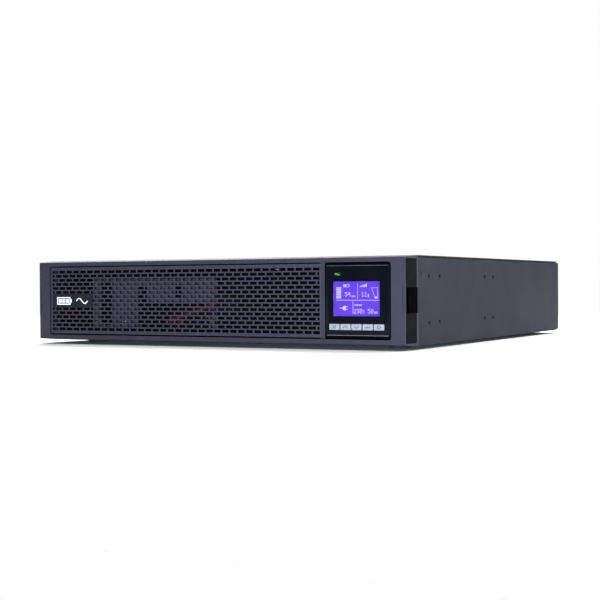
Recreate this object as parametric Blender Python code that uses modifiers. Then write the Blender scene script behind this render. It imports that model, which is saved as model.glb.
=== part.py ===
"""A two-unit rack and tower uninterruptible power supply, as separate pieces.

The model is in metres with +Z up. The front faces -Y and the width runs along X.
The origin is on the surface that the feet stand on, below the middle of the unit.

Sizes below are in millimetres. A place is given as x from the middle, back as the
distance behind the front plane, and z as the height above that surface.
"""

import math

import bmesh
import bpy
from mathutils import Matrix, Vector

MM = 0.001
GAP = 0.3  # clearance kept between pieces that touch

# Driving dimensions
WIDTH = 438.0
DEPTH = 480.0
FOOT_HEIGHT = 3.5
BODY_HEIGHT = 86.5
TOP = FOOT_HEIGHT + BODY_HEIGHT
SHEET = 1.2
LID_SHEET = 1.5
LID_END = 474.0
HALF = WIDTH / 2

# Front bezel
BEZEL_DEPTH = 27.0
BEZEL_TAPER = 2.0
BEZEL_FACE = 3.0
BEZEL_WALL = 4.5
WINDOW_X = (-203.3, 202.7)
WINDOW_Z = (10.0, 83.8)
BAR_X = (128.5, 132.4)
WINDOW_RADIUS = 2.5
GRIP_Z = (35.0, 59.6)
GRIP_SHELF = 3.0
GRIP_WALL = 1.2
GRIP_REACH = 13.0
GRIP_PLATE_BACK = (1.4, 24.3)
NOTCH_X = (214.2, 216.4)
NOTCH_Z = (34.1, 61.5)

# Grille
GRILLE_X = (-202.4, 128.0)
GRILLE_Z = (11.5, 82.5)
GRILLE_FRONT = 1.4
GRILLE_SHEET = 1.8
SLOT_ROWS = 15
SLOT_PITCH_Z = 4.378
SLOT_TOP_Z = 77.53
SLOT_HEIGHT = 2.7
SLOT_COLUMNS = 5

# Display module
DISPLAY_X = (133.0, 201.8)
DISPLAY_Z = (12.0, 82.5)
DISPLAY_FRONT = 0.8
DISPLAY_BACK = 22.0
DISPLAY_WALL = 2.2
SCREEN_X = (141.8, 190.8)
SCREEN_Z = (32.3, 65.2)
LAMP_X, LAMP_Z = 146.2, 72.3
BUTTON_NAMES = ("escape", "up", "down", "enter", "power")
BUTTON_FIRST_X = 143.2
BUTTON_PITCH = 11.7
BUTTON_WIDTH = 10.6
BUTTON_Z = (19.1, 24.8)
BUTTON_FRONT = 0.2
BUTTON_LENGTH = 8.0

# Chassis
CHASSIS_FRONT = 28.5
SIDE_X = HALF - 0.4
INNER_X = SIDE_X - SHEET - GAP
FLOOR_Z = FOOT_HEIGHT + SHEET + GAP
LID_Z = TOP - LID_SHEET
SIDE_TOP_Z = LID_Z - GAP
LID_FLANGE = 10.0
REAR_BACK = (LID_END + GAP, LID_END + GAP + SHEET)
HOLE_RADIUS = 2.0
HOLE_BACKS = (54.4, 81.5, 210.2, 236.6)
HOLE_ZS = (25.5, 70.2)
DIMPLES = ((35.2, 73.1), (36.6, 22.2))
REAR_CORNER = (10.0, 2.0)
FOOT_PLACES = {
    "front_left": (-185.0, 60.0),
    "front_right": (185.0, 60.0),
    "rear_left": (-185.0, 430.0),
    "rear_right": (185.0, 430.0),
}

# Battery bay
BATTERY_SIZE = (94.0, 151.0, 65.0)
BATTERY_PITCH = 95.0
BATTERY_FIRST_X = -155.5
BATTERY_BACK = 40.0
TRAY_X = (-205.0, 85.0)
TRAY_BACK = (31.0, 196.0)
TRAY_HEIGHT = 60.0
TRAY_OPENING = (-65.0, 34.0)
DOOR_X = (-166.0, -7.0)
DOOR_Z = (17.0, 69.5)
DOOR_BACK = 27.3
DOOR_SLOTS = (((-156.0, -140.0), (20.0, 67.0)), ((-106.0, -95.0), (20.0, 63.0)),
              ((-58.0, -50.0), (50.0, 64.0)))
DOOR_CORNER = ((-106.0, -16.0), (10.0, 45.0))
PLUG_X = (1.0, 27.0)
PLUG_Z = (36.0, 52.0)
PLUG_FRONT = 14.0
LEAD_RADIUS = 2.0

# Fans
FAN_SIZE = 80.0
FAN_DEPTH = 25.0
FAN_CENTRES = {"left": -172.0, "right": -88.0}
FAN_Z = 46.7
FAN_BORE = 38.0
FAN_BLADES = 7
FAN_BACK = REAR_BACK[0] - GAP - FAN_DEPTH

# Rear sockets
OUTLET_X0 = -32.0
OUTLET_PITCH = 28.0
OUTLET_COUNT = 4
OUTLET_ROWS = {"lower": 26.0, "upper": 66.0}
INLET_X, INLET_Z = 100.0, 26.0
BREAKER_X, BREAKER_Z = 100.0, 66.0

parts = None
cutters = None


def metres(x, back, z):
    return Vector((x, back - DEPTH / 2, z)) * MM


def start_scene():
    """Empties the scene and makes the two collections."""
    global parts, cutters
    for old in list(bpy.data.objects):
        bpy.data.objects.remove(old)
    parts = bpy.data.collections.new("uninterruptible_power_supply")
    cutters = bpy.data.collections.new("cutters")
    for collection in (parts, cutters):
        bpy.context.scene.collection.children.link(collection)


def move_to(obj, collection):
    for old in list(obj.users_collection):
        old.objects.unlink(obj)
    collection.objects.link(obj)


def keep(obj, name, colour, roughness=0.5, metallic=0.0):
    """Names a piece, gives it its own material and puts it with the parts."""
    obj.name = name
    obj.data.name = name
    material = bpy.data.materials.new(name)
    material.use_nodes = True
    shader = material.node_tree.nodes["Principled BSDF"]
    shader.inputs["Base Color"].default_value = (*colour, 1)
    shader.inputs["Roughness"].default_value = roughness
    shader.inputs["Metallic"].default_value = metallic
    obj.data.materials.clear()
    obj.data.materials.append(material)
    move_to(obj, parts)
    return obj


def boolean(target, other, operation="DIFFERENCE"):
    """Cuts or joins with a helper that stays hidden."""
    other.name = f"{target.name}_{operation.lower()}_{len(target.modifiers)}"
    other.hide_render = True
    other.display_type = "WIRE"
    move_to(other, cutters)
    modifier = target.modifiers.new(other.name, "BOOLEAN")
    modifier.operation = operation
    modifier.solver = "EXACT"
    modifier.object = other
    return target


def soften(obj, width, segments=1, angle=40):
    """Rounds the sharp edges of a shape by a width."""
    modifier = obj.modifiers.new("soft_edges", "BEVEL")
    modifier.width = width * MM
    modifier.segments = segments
    modifier.limit_method = "ANGLE"
    modifier.angle_limit = math.radians(angle)
    return obj


def smooth(obj, angle=35):
    obj.data.shade_smooth()
    obj.data.set_sharp_from_angle(angle=math.radians(angle))
    return obj


def block(x, back, z):
    """A box between two places, with its origin in its middle."""
    low, high = metres(x[0], back[0], z[0]), metres(x[1], back[1], z[1])
    bpy.ops.mesh.primitive_cube_add(size=1, location=(low + high) / 2)
    obj = bpy.context.object
    obj.data.transform(Matrix.Diagonal((*(high - low), 1)))
    return obj


def blocks(boxes):
    """Several separate boxes in one mesh, each (x, back, z)."""
    shape = bmesh.new()
    for x, back, z in boxes:
        low, high = metres(x[0], back[0], z[0]), metres(x[1], back[1], z[1])
        place = Matrix.Translation((low + high) / 2) @ Matrix.Diagonal((*(high - low), 1))
        bmesh.ops.create_cube(shape, size=1, matrix=place)
    return mesh_object(shape)


def mesh_object(shape):
    mesh = bpy.data.meshes.new("shape")
    shape.to_mesh(mesh)
    shape.free()
    obj = bpy.data.objects.new("shape", mesh)
    bpy.context.scene.collection.objects.link(obj)
    return obj


def rounded_block(x, back, z, radius, segments=4):
    """A box whose four edges along the depth are rounded."""
    obj = block(x, back, z)
    shape = bmesh.new()
    shape.from_mesh(obj.data)
    along = [
        edge for edge in shape.edges
        if abs((edge.verts[0].co - edge.verts[1].co).normalized().y) > 0.9
    ]
    bmesh.ops.bevel(
        shape, geom=along, offset=radius * MM, segments=segments, profile=0.5, affect="EDGES"
    )
    shape.to_mesh(obj.data)
    shape.free()
    return obj


def rods(places, radius, length, axis, sides=12):
    """Separate cylinders in one mesh, centred on places and lying along an axis."""
    turn = {"X": ("Y", 90), "Y": ("X", 90), "Z": ("Z", 0)}[axis]
    shape = bmesh.new()
    for place in places:
        bmesh.ops.create_cone(
            shape, cap_ends=True, segments=sides, radius1=radius * MM, radius2=radius * MM,
            depth=length * MM,
            matrix=Matrix.Translation(metres(*place))
            @ Matrix.Rotation(math.radians(turn[1]), 4, turn[0]),
        )
    return mesh_object(shape)


def cylinder(place, radius, length, axis, sides=24):
    rotation = {"X": (0, math.pi / 2, 0), "Y": (math.pi / 2, 0, 0), "Z": (0, 0, 0)}[axis]
    bpy.ops.mesh.primitive_cylinder_add(
        radius=radius * MM, depth=length * MM, vertices=sides,
        location=metres(*place), rotation=rotation,
    )
    return smooth(bpy.context.object)


def turned(place, profile, steps=20):
    """A profile of (radius, height) points, listed top to bottom, turned about Z."""
    mesh = bpy.data.meshes.new("profile")
    points = [(radius * MM, 0, height * MM) for radius, height in profile]
    mesh.from_pydata(points, [(i, i + 1) for i in range(len(points) - 1)], [])
    obj = bpy.data.objects.new("turned", mesh)
    obj.location = metres(*place)
    bpy.context.scene.collection.objects.link(obj)
    screw = obj.modifiers.new("turn", "SCREW")
    screw.steps = screw.render_steps = steps
    screw.use_merge_vertices = True
    screw.merge_threshold = 0.0001 * 0.5
    screw.use_smooth_shade = True
    return obj


def outline(points, place, length, stand):
    """A flat closed outline of (x, y) points, given a thickness along its normal."""
    curve = bpy.data.curves.new("outline", "CURVE")
    curve.dimensions = "2D"
    curve.fill_mode = "BOTH"
    curve.extrude = length / 2 * MM
    spline = curve.splines.new("POLY")
    spline.points.add(len(points) - 1)
    for point, (x, y) in zip(spline.points, points):
        point.co = (x * MM, y * MM, 0, 1)
    spline.use_cyclic_u = True
    obj = bpy.data.objects.new("outline", curve)
    obj.location = metres(*place)
    obj.rotation_euler = stand
    bpy.context.scene.collection.objects.link(obj)
    return obj


def curve_through(points, step):
    """Places every step along a smooth curve through the points."""
    padded = [2 * points[0] - points[1], *points, 2 * points[-1] - points[-2]]
    fine = []
    for a, b, c, d in zip(padded, padded[1:], padded[2:], padded[3:]):
        for i in range(16):
            t = i / 16
            fine.append(
                0.5 * (2 * b + (c - a) * t + (2 * a - 5 * b + 4 * c - d) * t * t
                       + (3 * b - a - 3 * c + d) * t ** 3)
            )
    fine.append(points[-1])
    route, travelled = [fine[0]], 0.0
    for before, after in zip(fine, fine[1:]):
        travelled += (after - before).length
        if travelled >= step:
            route.append(after)
            travelled = 0.0
    route[-1] = fine[-1]
    return route


def wire(route, radius):
    """A round lead along a smooth route of places."""
    curve = bpy.data.curves.new("wire", "CURVE")
    curve.dimensions = "3D"
    curve.bevel_depth = radius * MM
    curve.bevel_resolution = 2
    curve.use_fill_caps = True
    points = curve_through([metres(*place) for place in route], 2.4 * radius * MM)
    spline = curve.splines.new("POLY")
    spline.points.add(len(points) - 1)
    for point, place in zip(spline.points, points):
        point.co = (*place, 1)
    obj = bpy.data.objects.new("wire", curve)
    bpy.context.scene.collection.objects.link(obj)
    return obj


def open_box(x, back, z, missing, thickness):
    """A sheet-metal box that lacks the faces whose outward normals are listed."""
    obj = block(x, back, z)
    shape = bmesh.new()
    shape.from_mesh(obj.data)
    gone = [f for f in shape.faces if any(f.normal.dot(Vector(n)) > 0.9 for n in missing)]
    bmesh.ops.delete(shape, geom=gone, context="FACES")
    shape.to_mesh(obj.data)
    shape.free()
    sheet = obj.modifiers.new("sheet", "SOLIDIFY")
    sheet.thickness = thickness * MM
    sheet.offset = -1
    sheet.use_even_offset = True
    return obj


def joint_axis(name, place, members):
    """An empty on a joint's axis that carries the pieces which move together."""
    empty = bpy.data.objects.new(name, None)
    empty.location = metres(*place)
    empty.empty_display_size = 10 * MM
    parts.objects.link(empty)
    bpy.context.view_layer.update()
    for member in members:
        member.parent = empty
        member.matrix_parent_inverse = empty.matrix_world.inverted()
    return empty


# Chassis shell


def make_chassis_base():
    base = open_box(
        (-SIDE_X, SIDE_X), (CHASSIS_FRONT, DEPTH), (FOOT_HEIGHT, SIDE_TOP_Z),
        ((0, 0, 1), (0, 1, 0), (0, -1, 0)), SHEET,
    )
    keep(base, "chassis_base", (0.075, 0.078, 0.088), 0.55)
    holes = [(0, back, z) for back in HOLE_BACKS for z in HOLE_ZS]
    boolean(base, rods(holes, HOLE_RADIUS, WIDTH + 10, "X"))
    pits = [(side * SIDE_X, back, z) for side in (-1, 1) for back, z in DIMPLES]
    boolean(base, rods(pits, 1.1, 1.2, "X", 8))
    boolean(base, rear_corner_wedge())


def rear_corner_wedge():
    """What the slope under the rear end takes off the chassis."""
    length, height = REAR_CORNER
    wedge = block(
        (-WIDTH, WIDTH), (DEPTH - length, DEPTH + 1), (FOOT_HEIGHT - 1, FOOT_HEIGHT + height)
    )
    for vertex in wedge.data.vertices:
        if vertex.co.y < 0 and vertex.co.z > 0:
            vertex.co.z -= height * MM
    return wedge


def make_top_cover():
    cover = keep(
        block((-SIDE_X, SIDE_X), (CHASSIS_FRONT, LID_END), (LID_Z, TOP)),
        "top_cover", (0.07, 0.073, 0.083), 0.55,
    )
    flange_x = (INNER_X - SHEET, INNER_X)
    flange_back = (CHASSIS_FRONT + 2, LID_END - 1)
    flange_z = (LID_Z - LID_FLANGE, LID_Z + LID_SHEET / 2)
    flanges = [(flange_x, flange_back, flange_z)]
    flanges.append(((-flange_x[1], -flange_x[0]), flange_back, flange_z))
    boolean(cover, blocks(flanges), "UNION")


def make_front_plate():
    plate = keep(
        block((-INNER_X, INNER_X), (CHASSIS_FRONT + GAP, CHASSIS_FRONT + GAP + SHEET),
              (FLOOR_Z, SIDE_TOP_Z)),
        "front_plate", (0.02, 0.02, 0.022), 0.6,
    )
    bay = ((TRAY_X[0] - 1, TRAY_X[1] + 1), (20, 40), (FLOOR_Z + 1, TRAY_HEIGHT + 20))
    boolean(plate, blocks([bay]))
    boolean(plate, rods([(170, 30, 46)], 9, 20, "Y", 16))


def make_rear_panel():
    panel = keep(
        block((-INNER_X, INNER_X), REAR_BACK, (FLOOR_Z, SIDE_TOP_Z)),
        "rear_panel", (0.075, 0.078, 0.088), 0.55,
    )
    fans = [(x, LID_END, FAN_Z) for x in FAN_CENTRES.values()]
    boolean(panel, rods(fans, FAN_BORE + 0.5, 20, "Y", 28))
    middle = OUTLET_X0 + OUTLET_PITCH * (OUTLET_COUNT - 1) / 2
    half = OUTLET_PITCH * OUTLET_COUNT / 2 + GAP
    through = (LID_END - 10, LID_END + 10)
    openings = [
        ((middle - half, middle + half), through, (z - 12.3, z + 12.3))
        for z in OUTLET_ROWS.values()
    ]
    openings.append(((INLET_X - 14.3, INLET_X + 14.3), through, (INLET_Z - 10.3, INLET_Z + 10.3)))
    openings += [
        ((x[0] - GAP, x[1] + GAP), through, (z[0] - GAP, z[1] + GAP))
        for x, z in PORTS.values()
    ]
    boolean(panel, blocks(openings))
    boolean(panel, rods([(BREAKER_X, LID_END, BREAKER_Z)], 6.3, 20, "Y", 16))


def make_feet():
    """Four low rubber discs with a rounded lower edge."""
    height = FOOT_HEIGHT - GAP
    profile = ((0, height), (10.5, height), (10.5, 1.0), (9.8, 0.3), (8.5, 0), (0, 0))
    for corner, (x, back) in FOOT_PLACES.items():
        keep(turned((x, back, 0), profile, 24), f"foot_{corner}", (0.02, 0.02, 0.02), 0.9)


# Front bezel


def taper_front(obj, taper):
    """Draws the front face in by a taper on every side."""
    front = min(vertex.co.y for vertex in obj.data.vertices)
    for vertex in obj.data.vertices:
        if vertex.co.y < front + 1e-6:
            vertex.co.x -= math.copysign(taper * MM, vertex.co.x)
            vertex.co.z -= math.copysign(taper * MM, vertex.co.z)
    return obj


def make_bezel():
    bezel = taper_front(block((-HALF, HALF), (0, BEZEL_DEPTH), (FOOT_HEIGHT, TOP)), BEZEL_TAPER)
    keep(bezel, "front_bezel", (0.055, 0.058, 0.085), 0.42)
    soften(bezel, 0.6)
    inner_x = HALF - BEZEL_WALL
    boolean(bezel, blocks([
        ((-inner_x, inner_x), (BEZEL_FACE, BEZEL_DEPTH + 5),
         (FOOT_HEIGHT + 3.6, TOP - 3.6)),
    ]))
    boolean(bezel, rounded_block((WINDOW_X[0], BAR_X[0]), (-5, 10), WINDOW_Z, WINDOW_RADIUS))
    boolean(bezel, rounded_block((BAR_X[1], WINDOW_X[1]), (-5, 10), WINDOW_Z, WINDOW_RADIUS))
    boolean(bezel, blocks([((BAR_X[0] - 1, BAR_X[1] + 1), (-5, 1.4), WINDOW_Z)]))
    shelf = HALF - GRIP_SHELF
    for side in (-1, 1):
        boolean(bezel, blocks([
            (span(side, shelf, HALF + 5), GRIP_PLATE_BACK, (FOOT_HEIGHT + 3.2, TOP - 3.2)),
        ]))
        boolean(bezel, blocks([
            (span(side, HALF - GRIP_REACH, shelf + GAP), (2.0, BEZEL_DEPTH + 5), bowl_span()),
        ]))
        boolean(bezel, blocks([
            (span(side, shelf - GAP, HALF + 5), (2.0, BEZEL_DEPTH + 5), GRIP_Z),
        ]))
        boolean(bezel, blocks([(span(side, *NOTCH_X), (-5, 1.0), NOTCH_Z)]))
    return bezel


def span(side, near, far):
    """The range from near to far on one side of the middle, lowest first."""
    return (near, far) if side > 0 else (-far, -near)


def bowl_span():
    """The height range of the cut that takes a grip's pocket and its walls."""
    return (GRIP_Z[0] - GRIP_WALL - GAP, GRIP_Z[1] + GRIP_WALL + GAP)


def make_side_grip(name, side):
    """The dark insert on a bezel side, with a pocket for the fingers."""
    outer = HALF - 0.5
    face_back = (GRIP_PLATE_BACK[0] + GAP, GRIP_PLATE_BACK[1] - GAP)
    plate = block(
        span(side, HALF - 2.7, outer), face_back, (FOOT_HEIGHT + 3.5, TOP - 3.5)
    )
    for vertex in plate.data.vertices:
        if vertex.co.x * side > 0 and vertex.co.y < 0:
            vertex.co.x -= side * BEZEL_TAPER * 0.8 * MM
    keep(plate, name, (0.022, 0.021, 0.024), 0.5)
    deep = HALF - GRIP_REACH + GAP
    bowl_z = (GRIP_Z[0] - GRIP_WALL, GRIP_Z[1] + GRIP_WALL)
    boolean(plate, blocks([(span(side, deep, HALF - 1.9), (2.0 + GAP, face_back[1]), bowl_z)]),
            "UNION")
    boolean(plate, blocks([
        (span(side, deep, HALF - GRIP_SHELF - GAP), (face_back[1] - 1, BEZEL_DEPTH - GAP), bowl_z),
    ]), "UNION")
    boolean(plate, blocks([
        (span(side, deep + GRIP_WALL, HALF + 5), (2.4 + GRIP_WALL, BEZEL_DEPTH + 5), GRIP_Z),
    ]))
    return plate


def slot_boxes():
    """Long slots in the rows of the grille."""
    x_low, x_high = GRILLE_X[0] + 2.7, GRILLE_X[1] - 1.7
    pitch = (x_high - x_low) / SLOT_COLUMNS
    boxes = []
    for row in range(SLOT_ROWS):
        z = SLOT_TOP_Z - row * SLOT_PITCH_Z
        for column in range(SLOT_COLUMNS):
            x = (x_low + column * pitch, x_low + (column + 1) * pitch - 2.0)
            boxes.append((x, (-5, 10), (z - SLOT_HEIGHT / 2, z + SLOT_HEIGHT / 2)))
    return boxes


def make_grille():
    panel = keep(
        block(GRILLE_X, (GRILLE_FRONT, GRILLE_FRONT + GRILLE_SHEET), GRILLE_Z),
        "grille_panel", (0.06, 0.063, 0.085), 0.45,
    )
    return boolean(panel, blocks(slot_boxes()))


def make_badge():
    badge = rounded_block((-199.0, -146.0), (0.3, GRILLE_FRONT - GAP), (39.2, 53.8), 0.8, 2)
    return keep(badge, "badge_plate", (0.03, 0.032, 0.04), 0.35)


# Display module


def button_centre(index):
    return BUTTON_FIRST_X + index * BUTTON_PITCH


def make_display_housing():
    housing = keep(
        block(DISPLAY_X, (DISPLAY_FRONT, DISPLAY_BACK), DISPLAY_Z),
        "display_housing", (0.008, 0.009, 0.011), 0.12,
    )
    soften(housing, 1.6, 2)
    wall = DISPLAY_WALL
    boolean(housing, blocks([(
        (DISPLAY_X[0] + wall, DISPLAY_X[1] - wall), (DISPLAY_FRONT + wall, DISPLAY_BACK + 5),
        (DISPLAY_Z[0] + wall, DISPLAY_Z[1] - wall),
    )]))
    through = (-5, 10)
    half = BUTTON_WIDTH / 2 + GAP
    openings = [(SCREEN_X, through, SCREEN_Z)]
    openings.append(((LAMP_X - 3.6, LAMP_X + 3.6), through, (LAMP_Z - 1.6, LAMP_Z + 1.6)))
    for index in range(len(BUTTON_NAMES)):
        x = button_centre(index)
        z = (BUTTON_Z[0] - GAP, BUTTON_Z[1] + GAP)
        openings.append(((x - half, x + half), through, z))
    return boolean(housing, blocks(openings))


def make_display_inside():
    """The window, the lit display behind it, the lamp and the circuit board."""
    window = block(
        (SCREEN_X[0] + GAP, SCREEN_X[1] - GAP), (DISPLAY_FRONT + 0.2, DISPLAY_FRONT + 1.6),
        (SCREEN_Z[0] + GAP, SCREEN_Z[1] - GAP),
    )
    display = block(
        (SCREEN_X[0] - 2.5, SCREEN_X[1] + 2.5), (3.6, 7.0), (SCREEN_Z[0] - 3, SCREEN_Z[1] + 3)
    )
    lamp = rounded_block(
        (LAMP_X - 3.3, LAMP_X + 3.3), (0.9, 8.0), (LAMP_Z - 1.3, LAMP_Z + 1.3), 0.8, 2
    )
    board = block(
        (DISPLAY_X[0] + 2.6, DISPLAY_X[1] - 2.6), (12.0, 13.6),
        (DISPLAY_Z[0] + 2.6, DISPLAY_Z[1] - 2.6),
    )
    return [
        keep(window, "display_window", (0.3, 0.25, 0.8), 0.05),
        keep(display, "backlit_display", (0.15, 0.07, 0.9), 0.3),
        keep(lamp, "status_lamp", (0.05, 0.5, 0.08), 0.3),
        keep(board, "display_board", (0.03, 0.18, 0.07), 0.5),
    ]


def make_button(index, name):
    x = button_centre(index)
    button = block(
        (x - BUTTON_WIDTH / 2, x + BUTTON_WIDTH / 2), (BUTTON_FRONT, BUTTON_FRONT + BUTTON_LENGTH),
        BUTTON_Z,
    )
    keep(button, f"button_{name}", (0.48, 0.53, 0.6), 0.4)
    return soften(button, 0.4)


# Battery bay


def make_battery_tray():
    tray = open_box(TRAY_X, TRAY_BACK, (FLOOR_Z + 1.3, TRAY_HEIGHT + 18),
                    ((0, 0, 1), (0, 1, 0)), SHEET)
    keep(tray, "battery_tray", (0.03, 0.03, 0.032), 0.6, 0.3)
    boolean(tray, blocks([(TRAY_OPENING, (TRAY_BACK[0] - 5, TRAY_BACK[0] + 5), (16, 70))]))


def make_battery_door():
    """A grey plate on the tray's front, slotted, with a corner left open for the leads."""
    door = block(DOOR_X, (DOOR_BACK, CHASSIS_FRONT + GAP + SHEET), DOOR_Z)
    keep(door, "battery_door", (0.2, 0.2, 0.23), 0.5, 0.3)
    through = (DOOR_BACK - 5, DOOR_BACK + 10)
    boolean(door, blocks([(x, through, z) for x, z in DOOR_SLOTS]))
    boolean(door, blocks([(DOOR_CORNER[0], through, DOOR_CORNER[1])]))


def make_batteries():
    width, length, height = BATTERY_SIZE
    low = FLOOR_Z + 1.3 + SHEET + GAP
    for index in range(3):
        x = BATTERY_FIRST_X + index * BATTERY_PITCH
        battery = block((x - width / 2, x + width / 2), (BATTERY_BACK, BATTERY_BACK + length),
                        (low, low + height))
        keep(battery, f"battery_{index + 1}", (0.03, 0.03, 0.035), 0.55)
        soften(battery, 1.5)


def make_battery_leads():
    plug = rounded_block(PLUG_X, (PLUG_FRONT, TRAY_BACK[0] - GAP), PLUG_Z, 1.5, 2)
    keep(plug, "battery_plug", (0.05, 0.05, 0.05), 0.5)
    red = [
        (-52, 37, 24), (-59, 28, 22.5), (-60, 19, 23.5), (-54, 15.3, 26.2), (-44.8, 15, 29.2),
        (-28.7, 15, 34.4), (-15.2, 15, 38.4), (-7, 16, 42), (-3.5, 17, 44.6), (0, 17.5, 45.4),
    ]
    black = [
        (-30, 37, 21), (-35, 27, 20), (-30, 20, 20.5), (-18, 20, 27.3), (-12.5, 20, 30.8),
        (-7.5, 21, 34.8), (-3.5, 22, 38), (0, 22, 38.6),
    ]
    keep(wire(red, LEAD_RADIUS), "battery_lead_red", (0.5, 0.02, 0.04), 0.45)
    keep(wire(black, LEAD_RADIUS), "battery_lead_black", (0.02, 0.02, 0.02), 0.45)


# Electronics


def heatsink_outline(width, height, base, fins):
    """Half-open comb: a base with fins that stand on it."""
    pitch = width / (fins - 0.45)
    fin = pitch * 0.55
    points = [(-width / 2, 0), (width / 2, 0)]
    for index in reversed(range(fins)):
        left = -width / 2 + index * pitch
        points += [(left + fin, base), (left + fin, height), (left, height), (left, base)]
    points[2] = (width / 2, base)
    points[3] = (width / 2, height)
    points.pop()
    return points


def make_electronics():
    board_z = (12.0, 13.6)
    on_board = board_z[1] + GAP
    green, copper = (0.02, 0.12, 0.05), (0.5, 0.22, 0.08)
    keep(block((-200, 200), (212, 436), board_z), "main_board", green, 0.5)
    keep(block((95, 205), (45, 190), board_z), "charger_board", green, 0.5)
    keep(block((-216, 215.5), (200, 200 + SHEET), (FLOOR_Z, SIDE_TOP_Z - 11)),
         "divider_wall", (0.3, 0.3, 0.32), 0.4, 0.8)
    for name, x in (("left", -120.0), ("right", -30.0)):
        sink = outline(heatsink_outline(50, 54, 6, 7), (x, 320, on_board), 170,
                       (math.pi / 2, 0, 0))
        keep(sink, f"heatsink_{name}", (0.5, 0.5, 0.52), 0.35, 0.9)
    core = keep(block((70, 140), (225, 281), (on_board, on_board + 56)),
                "transformer", (0.12, 0.1, 0.1), 0.5)
    boolean(core, blocks([((80, 130), (219, 287), (on_board + 11, on_board + 45))]), "UNION")
    for index in range(2):
        bpy.ops.mesh.primitive_torus_add(
            location=metres(178, 240 + 48 * index, on_board + 8.1), major_radius=14 * MM,
            minor_radius=8 * MM, major_segments=20, minor_segments=8,
        )
        choke = keep(smooth(bpy.context.object), f"choke_{index + 1}", copper, 0.4, 0.6)
        choke.rotation_euler.z = index * 0.3
    profile = ((0, 50), (14, 50), (15, 49), (15, 1), (14, 0), (0, 0))
    for index in range(3):
        can = turned((50 + index * 36, 320, on_board), profile, 20)
        keep(can, f"capacitor_{index + 1}", (0.03, 0.04, 0.09), 0.35)


# Rear fans


def make_fan(name, x):
    """A frame with a round bore and four struts, and the rotor that turns in it."""
    half = FAN_SIZE / 2 - GAP
    frame = keep(
        block((x - half, x + half), (FAN_BACK, FAN_BACK + FAN_DEPTH), (FAN_Z - half, FAN_Z + half)),
        f"fan_frame_{name}", (0.02, 0.02, 0.02), 0.6,
    )
    boolean(frame, rods([(x, FAN_BACK + FAN_DEPTH / 2, FAN_Z)], FAN_BORE, 60, "Y", 28))
    back = (FAN_BACK + FAN_DEPTH - 3, FAN_BACK + FAN_DEPTH - 0.5)
    boolean(frame, blocks([((x - half + 1, x + half - 1), back, (FAN_Z - 2, FAN_Z + 2))]), "UNION")
    boolean(frame, blocks([((x - 2, x + 2), back, (FAN_Z - half + 1, FAN_Z + half - 1))]), "UNION")
    hub_back = (back[0] + back[1]) / 2 - 0.1
    boolean(frame, rods([(x, hub_back, FAN_Z)], 17, 2.5, "Y", 20), "UNION")
    make_rotor(name, x)
    make_guard(name, x)


def make_rotor(name, x):
    back = FAN_BACK + 10.5
    hub = keep(cylinder((x, back, FAN_Z), 18, 18, "Y", 24),
               f"fan_rotor_{name}", (0.03, 0.03, 0.03), 0.5)
    blades = bmesh.new()
    size = Matrix.Diagonal((14 * MM, 1.6 * MM, 22 * MM, 1))
    for index in range(FAN_BLADES):
        turn = Matrix.Rotation(2 * math.pi * index / FAN_BLADES, 4, "Y")
        pitch = Matrix.Rotation(math.radians(40), 4, "Z")
        out = Matrix.Translation((0, 0, 26 * MM))
        place = Matrix.Translation(metres(x, back, FAN_Z))
        bmesh.ops.create_cube(blades, size=1, matrix=place @ turn @ out @ pitch @ size)
    boolean(hub, mesh_object(blades), "UNION")


def make_guard(name, x):
    """Rings on crossed bars over the fan's outlet."""
    back = REAR_BACK[1] + GAP + 1.2
    reach = FAN_BORE + 3
    guard = keep(
        block((x - reach, x + reach), (back - 0.8, back + 0.8), (FAN_Z - 1.2, FAN_Z + 1.2)),
        f"fan_guard_{name}", (0.6, 0.6, 0.62), 0.25, 1.0,
    )
    boolean(guard, blocks([
        ((x - 1.2, x + 1.2), (back - 0.65, back + 0.65), (FAN_Z - reach, FAN_Z + reach)),
    ]), "UNION")
    for radius in (37, 27, 17):
        bpy.ops.mesh.primitive_torus_add(
            location=metres(x, back, FAN_Z), rotation=(math.pi / 2, 0, 0),
            major_radius=radius * MM, minor_radius=1.1 * MM, major_segments=26, minor_segments=5,
        )
        boolean(guard, bpy.context.object, "UNION")


# Rear sockets and ports

PORTS = {
    "external_battery_socket": ((124, 158), (12, 32)),
    "usb_port": ((163, 175), (13, 24)),
    "emergency_off_terminal": ((163, 177), (29, 38)),
    "serial_port": ((181, 212), (13, 25.5)),
}
PORT_BACK = (LID_END - 12, LID_END + 5.5)


def make_outlet_block(name, z):
    """A row of female appliance outlets, each a slotted island in a groove."""
    centres = [OUTLET_X0 + OUTLET_PITCH * index for index in range(OUTLET_COUNT)]
    half = OUTLET_PITCH / 2
    body = keep(
        block((centres[0] - half, centres[-1] + half), (LID_END - 22, LID_END + 3), (z - 12, z + 12)),
        f"outlet_block_{name}", (0.015, 0.015, 0.016), 0.45,
    )
    mouth = (LID_END - 14, LID_END + 10)
    island = (LID_END - 16, LID_END + 2.2)
    pins = (LID_END - 12, LID_END + 10)
    boolean(body, blocks([((x - 12.4, x + 12.4), mouth, (z - 8.6, z + 8.6)) for x in centres]))
    boolean(body, blocks([((x - 9.6, x + 9.6), island, (z - 5.8, z + 5.8)) for x in centres]),
            "UNION")
    slots = []
    for x in centres:
        slots += [((x + side - 1, x + side + 1), pins, (z - 3.6, z + 0.9)) for side in (-6.8, 6.8)]
        slots.append(((x - 1, x + 1), pins, (z - 0.6, z + 3.9)))
    boolean(body, blocks(slots))


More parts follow.
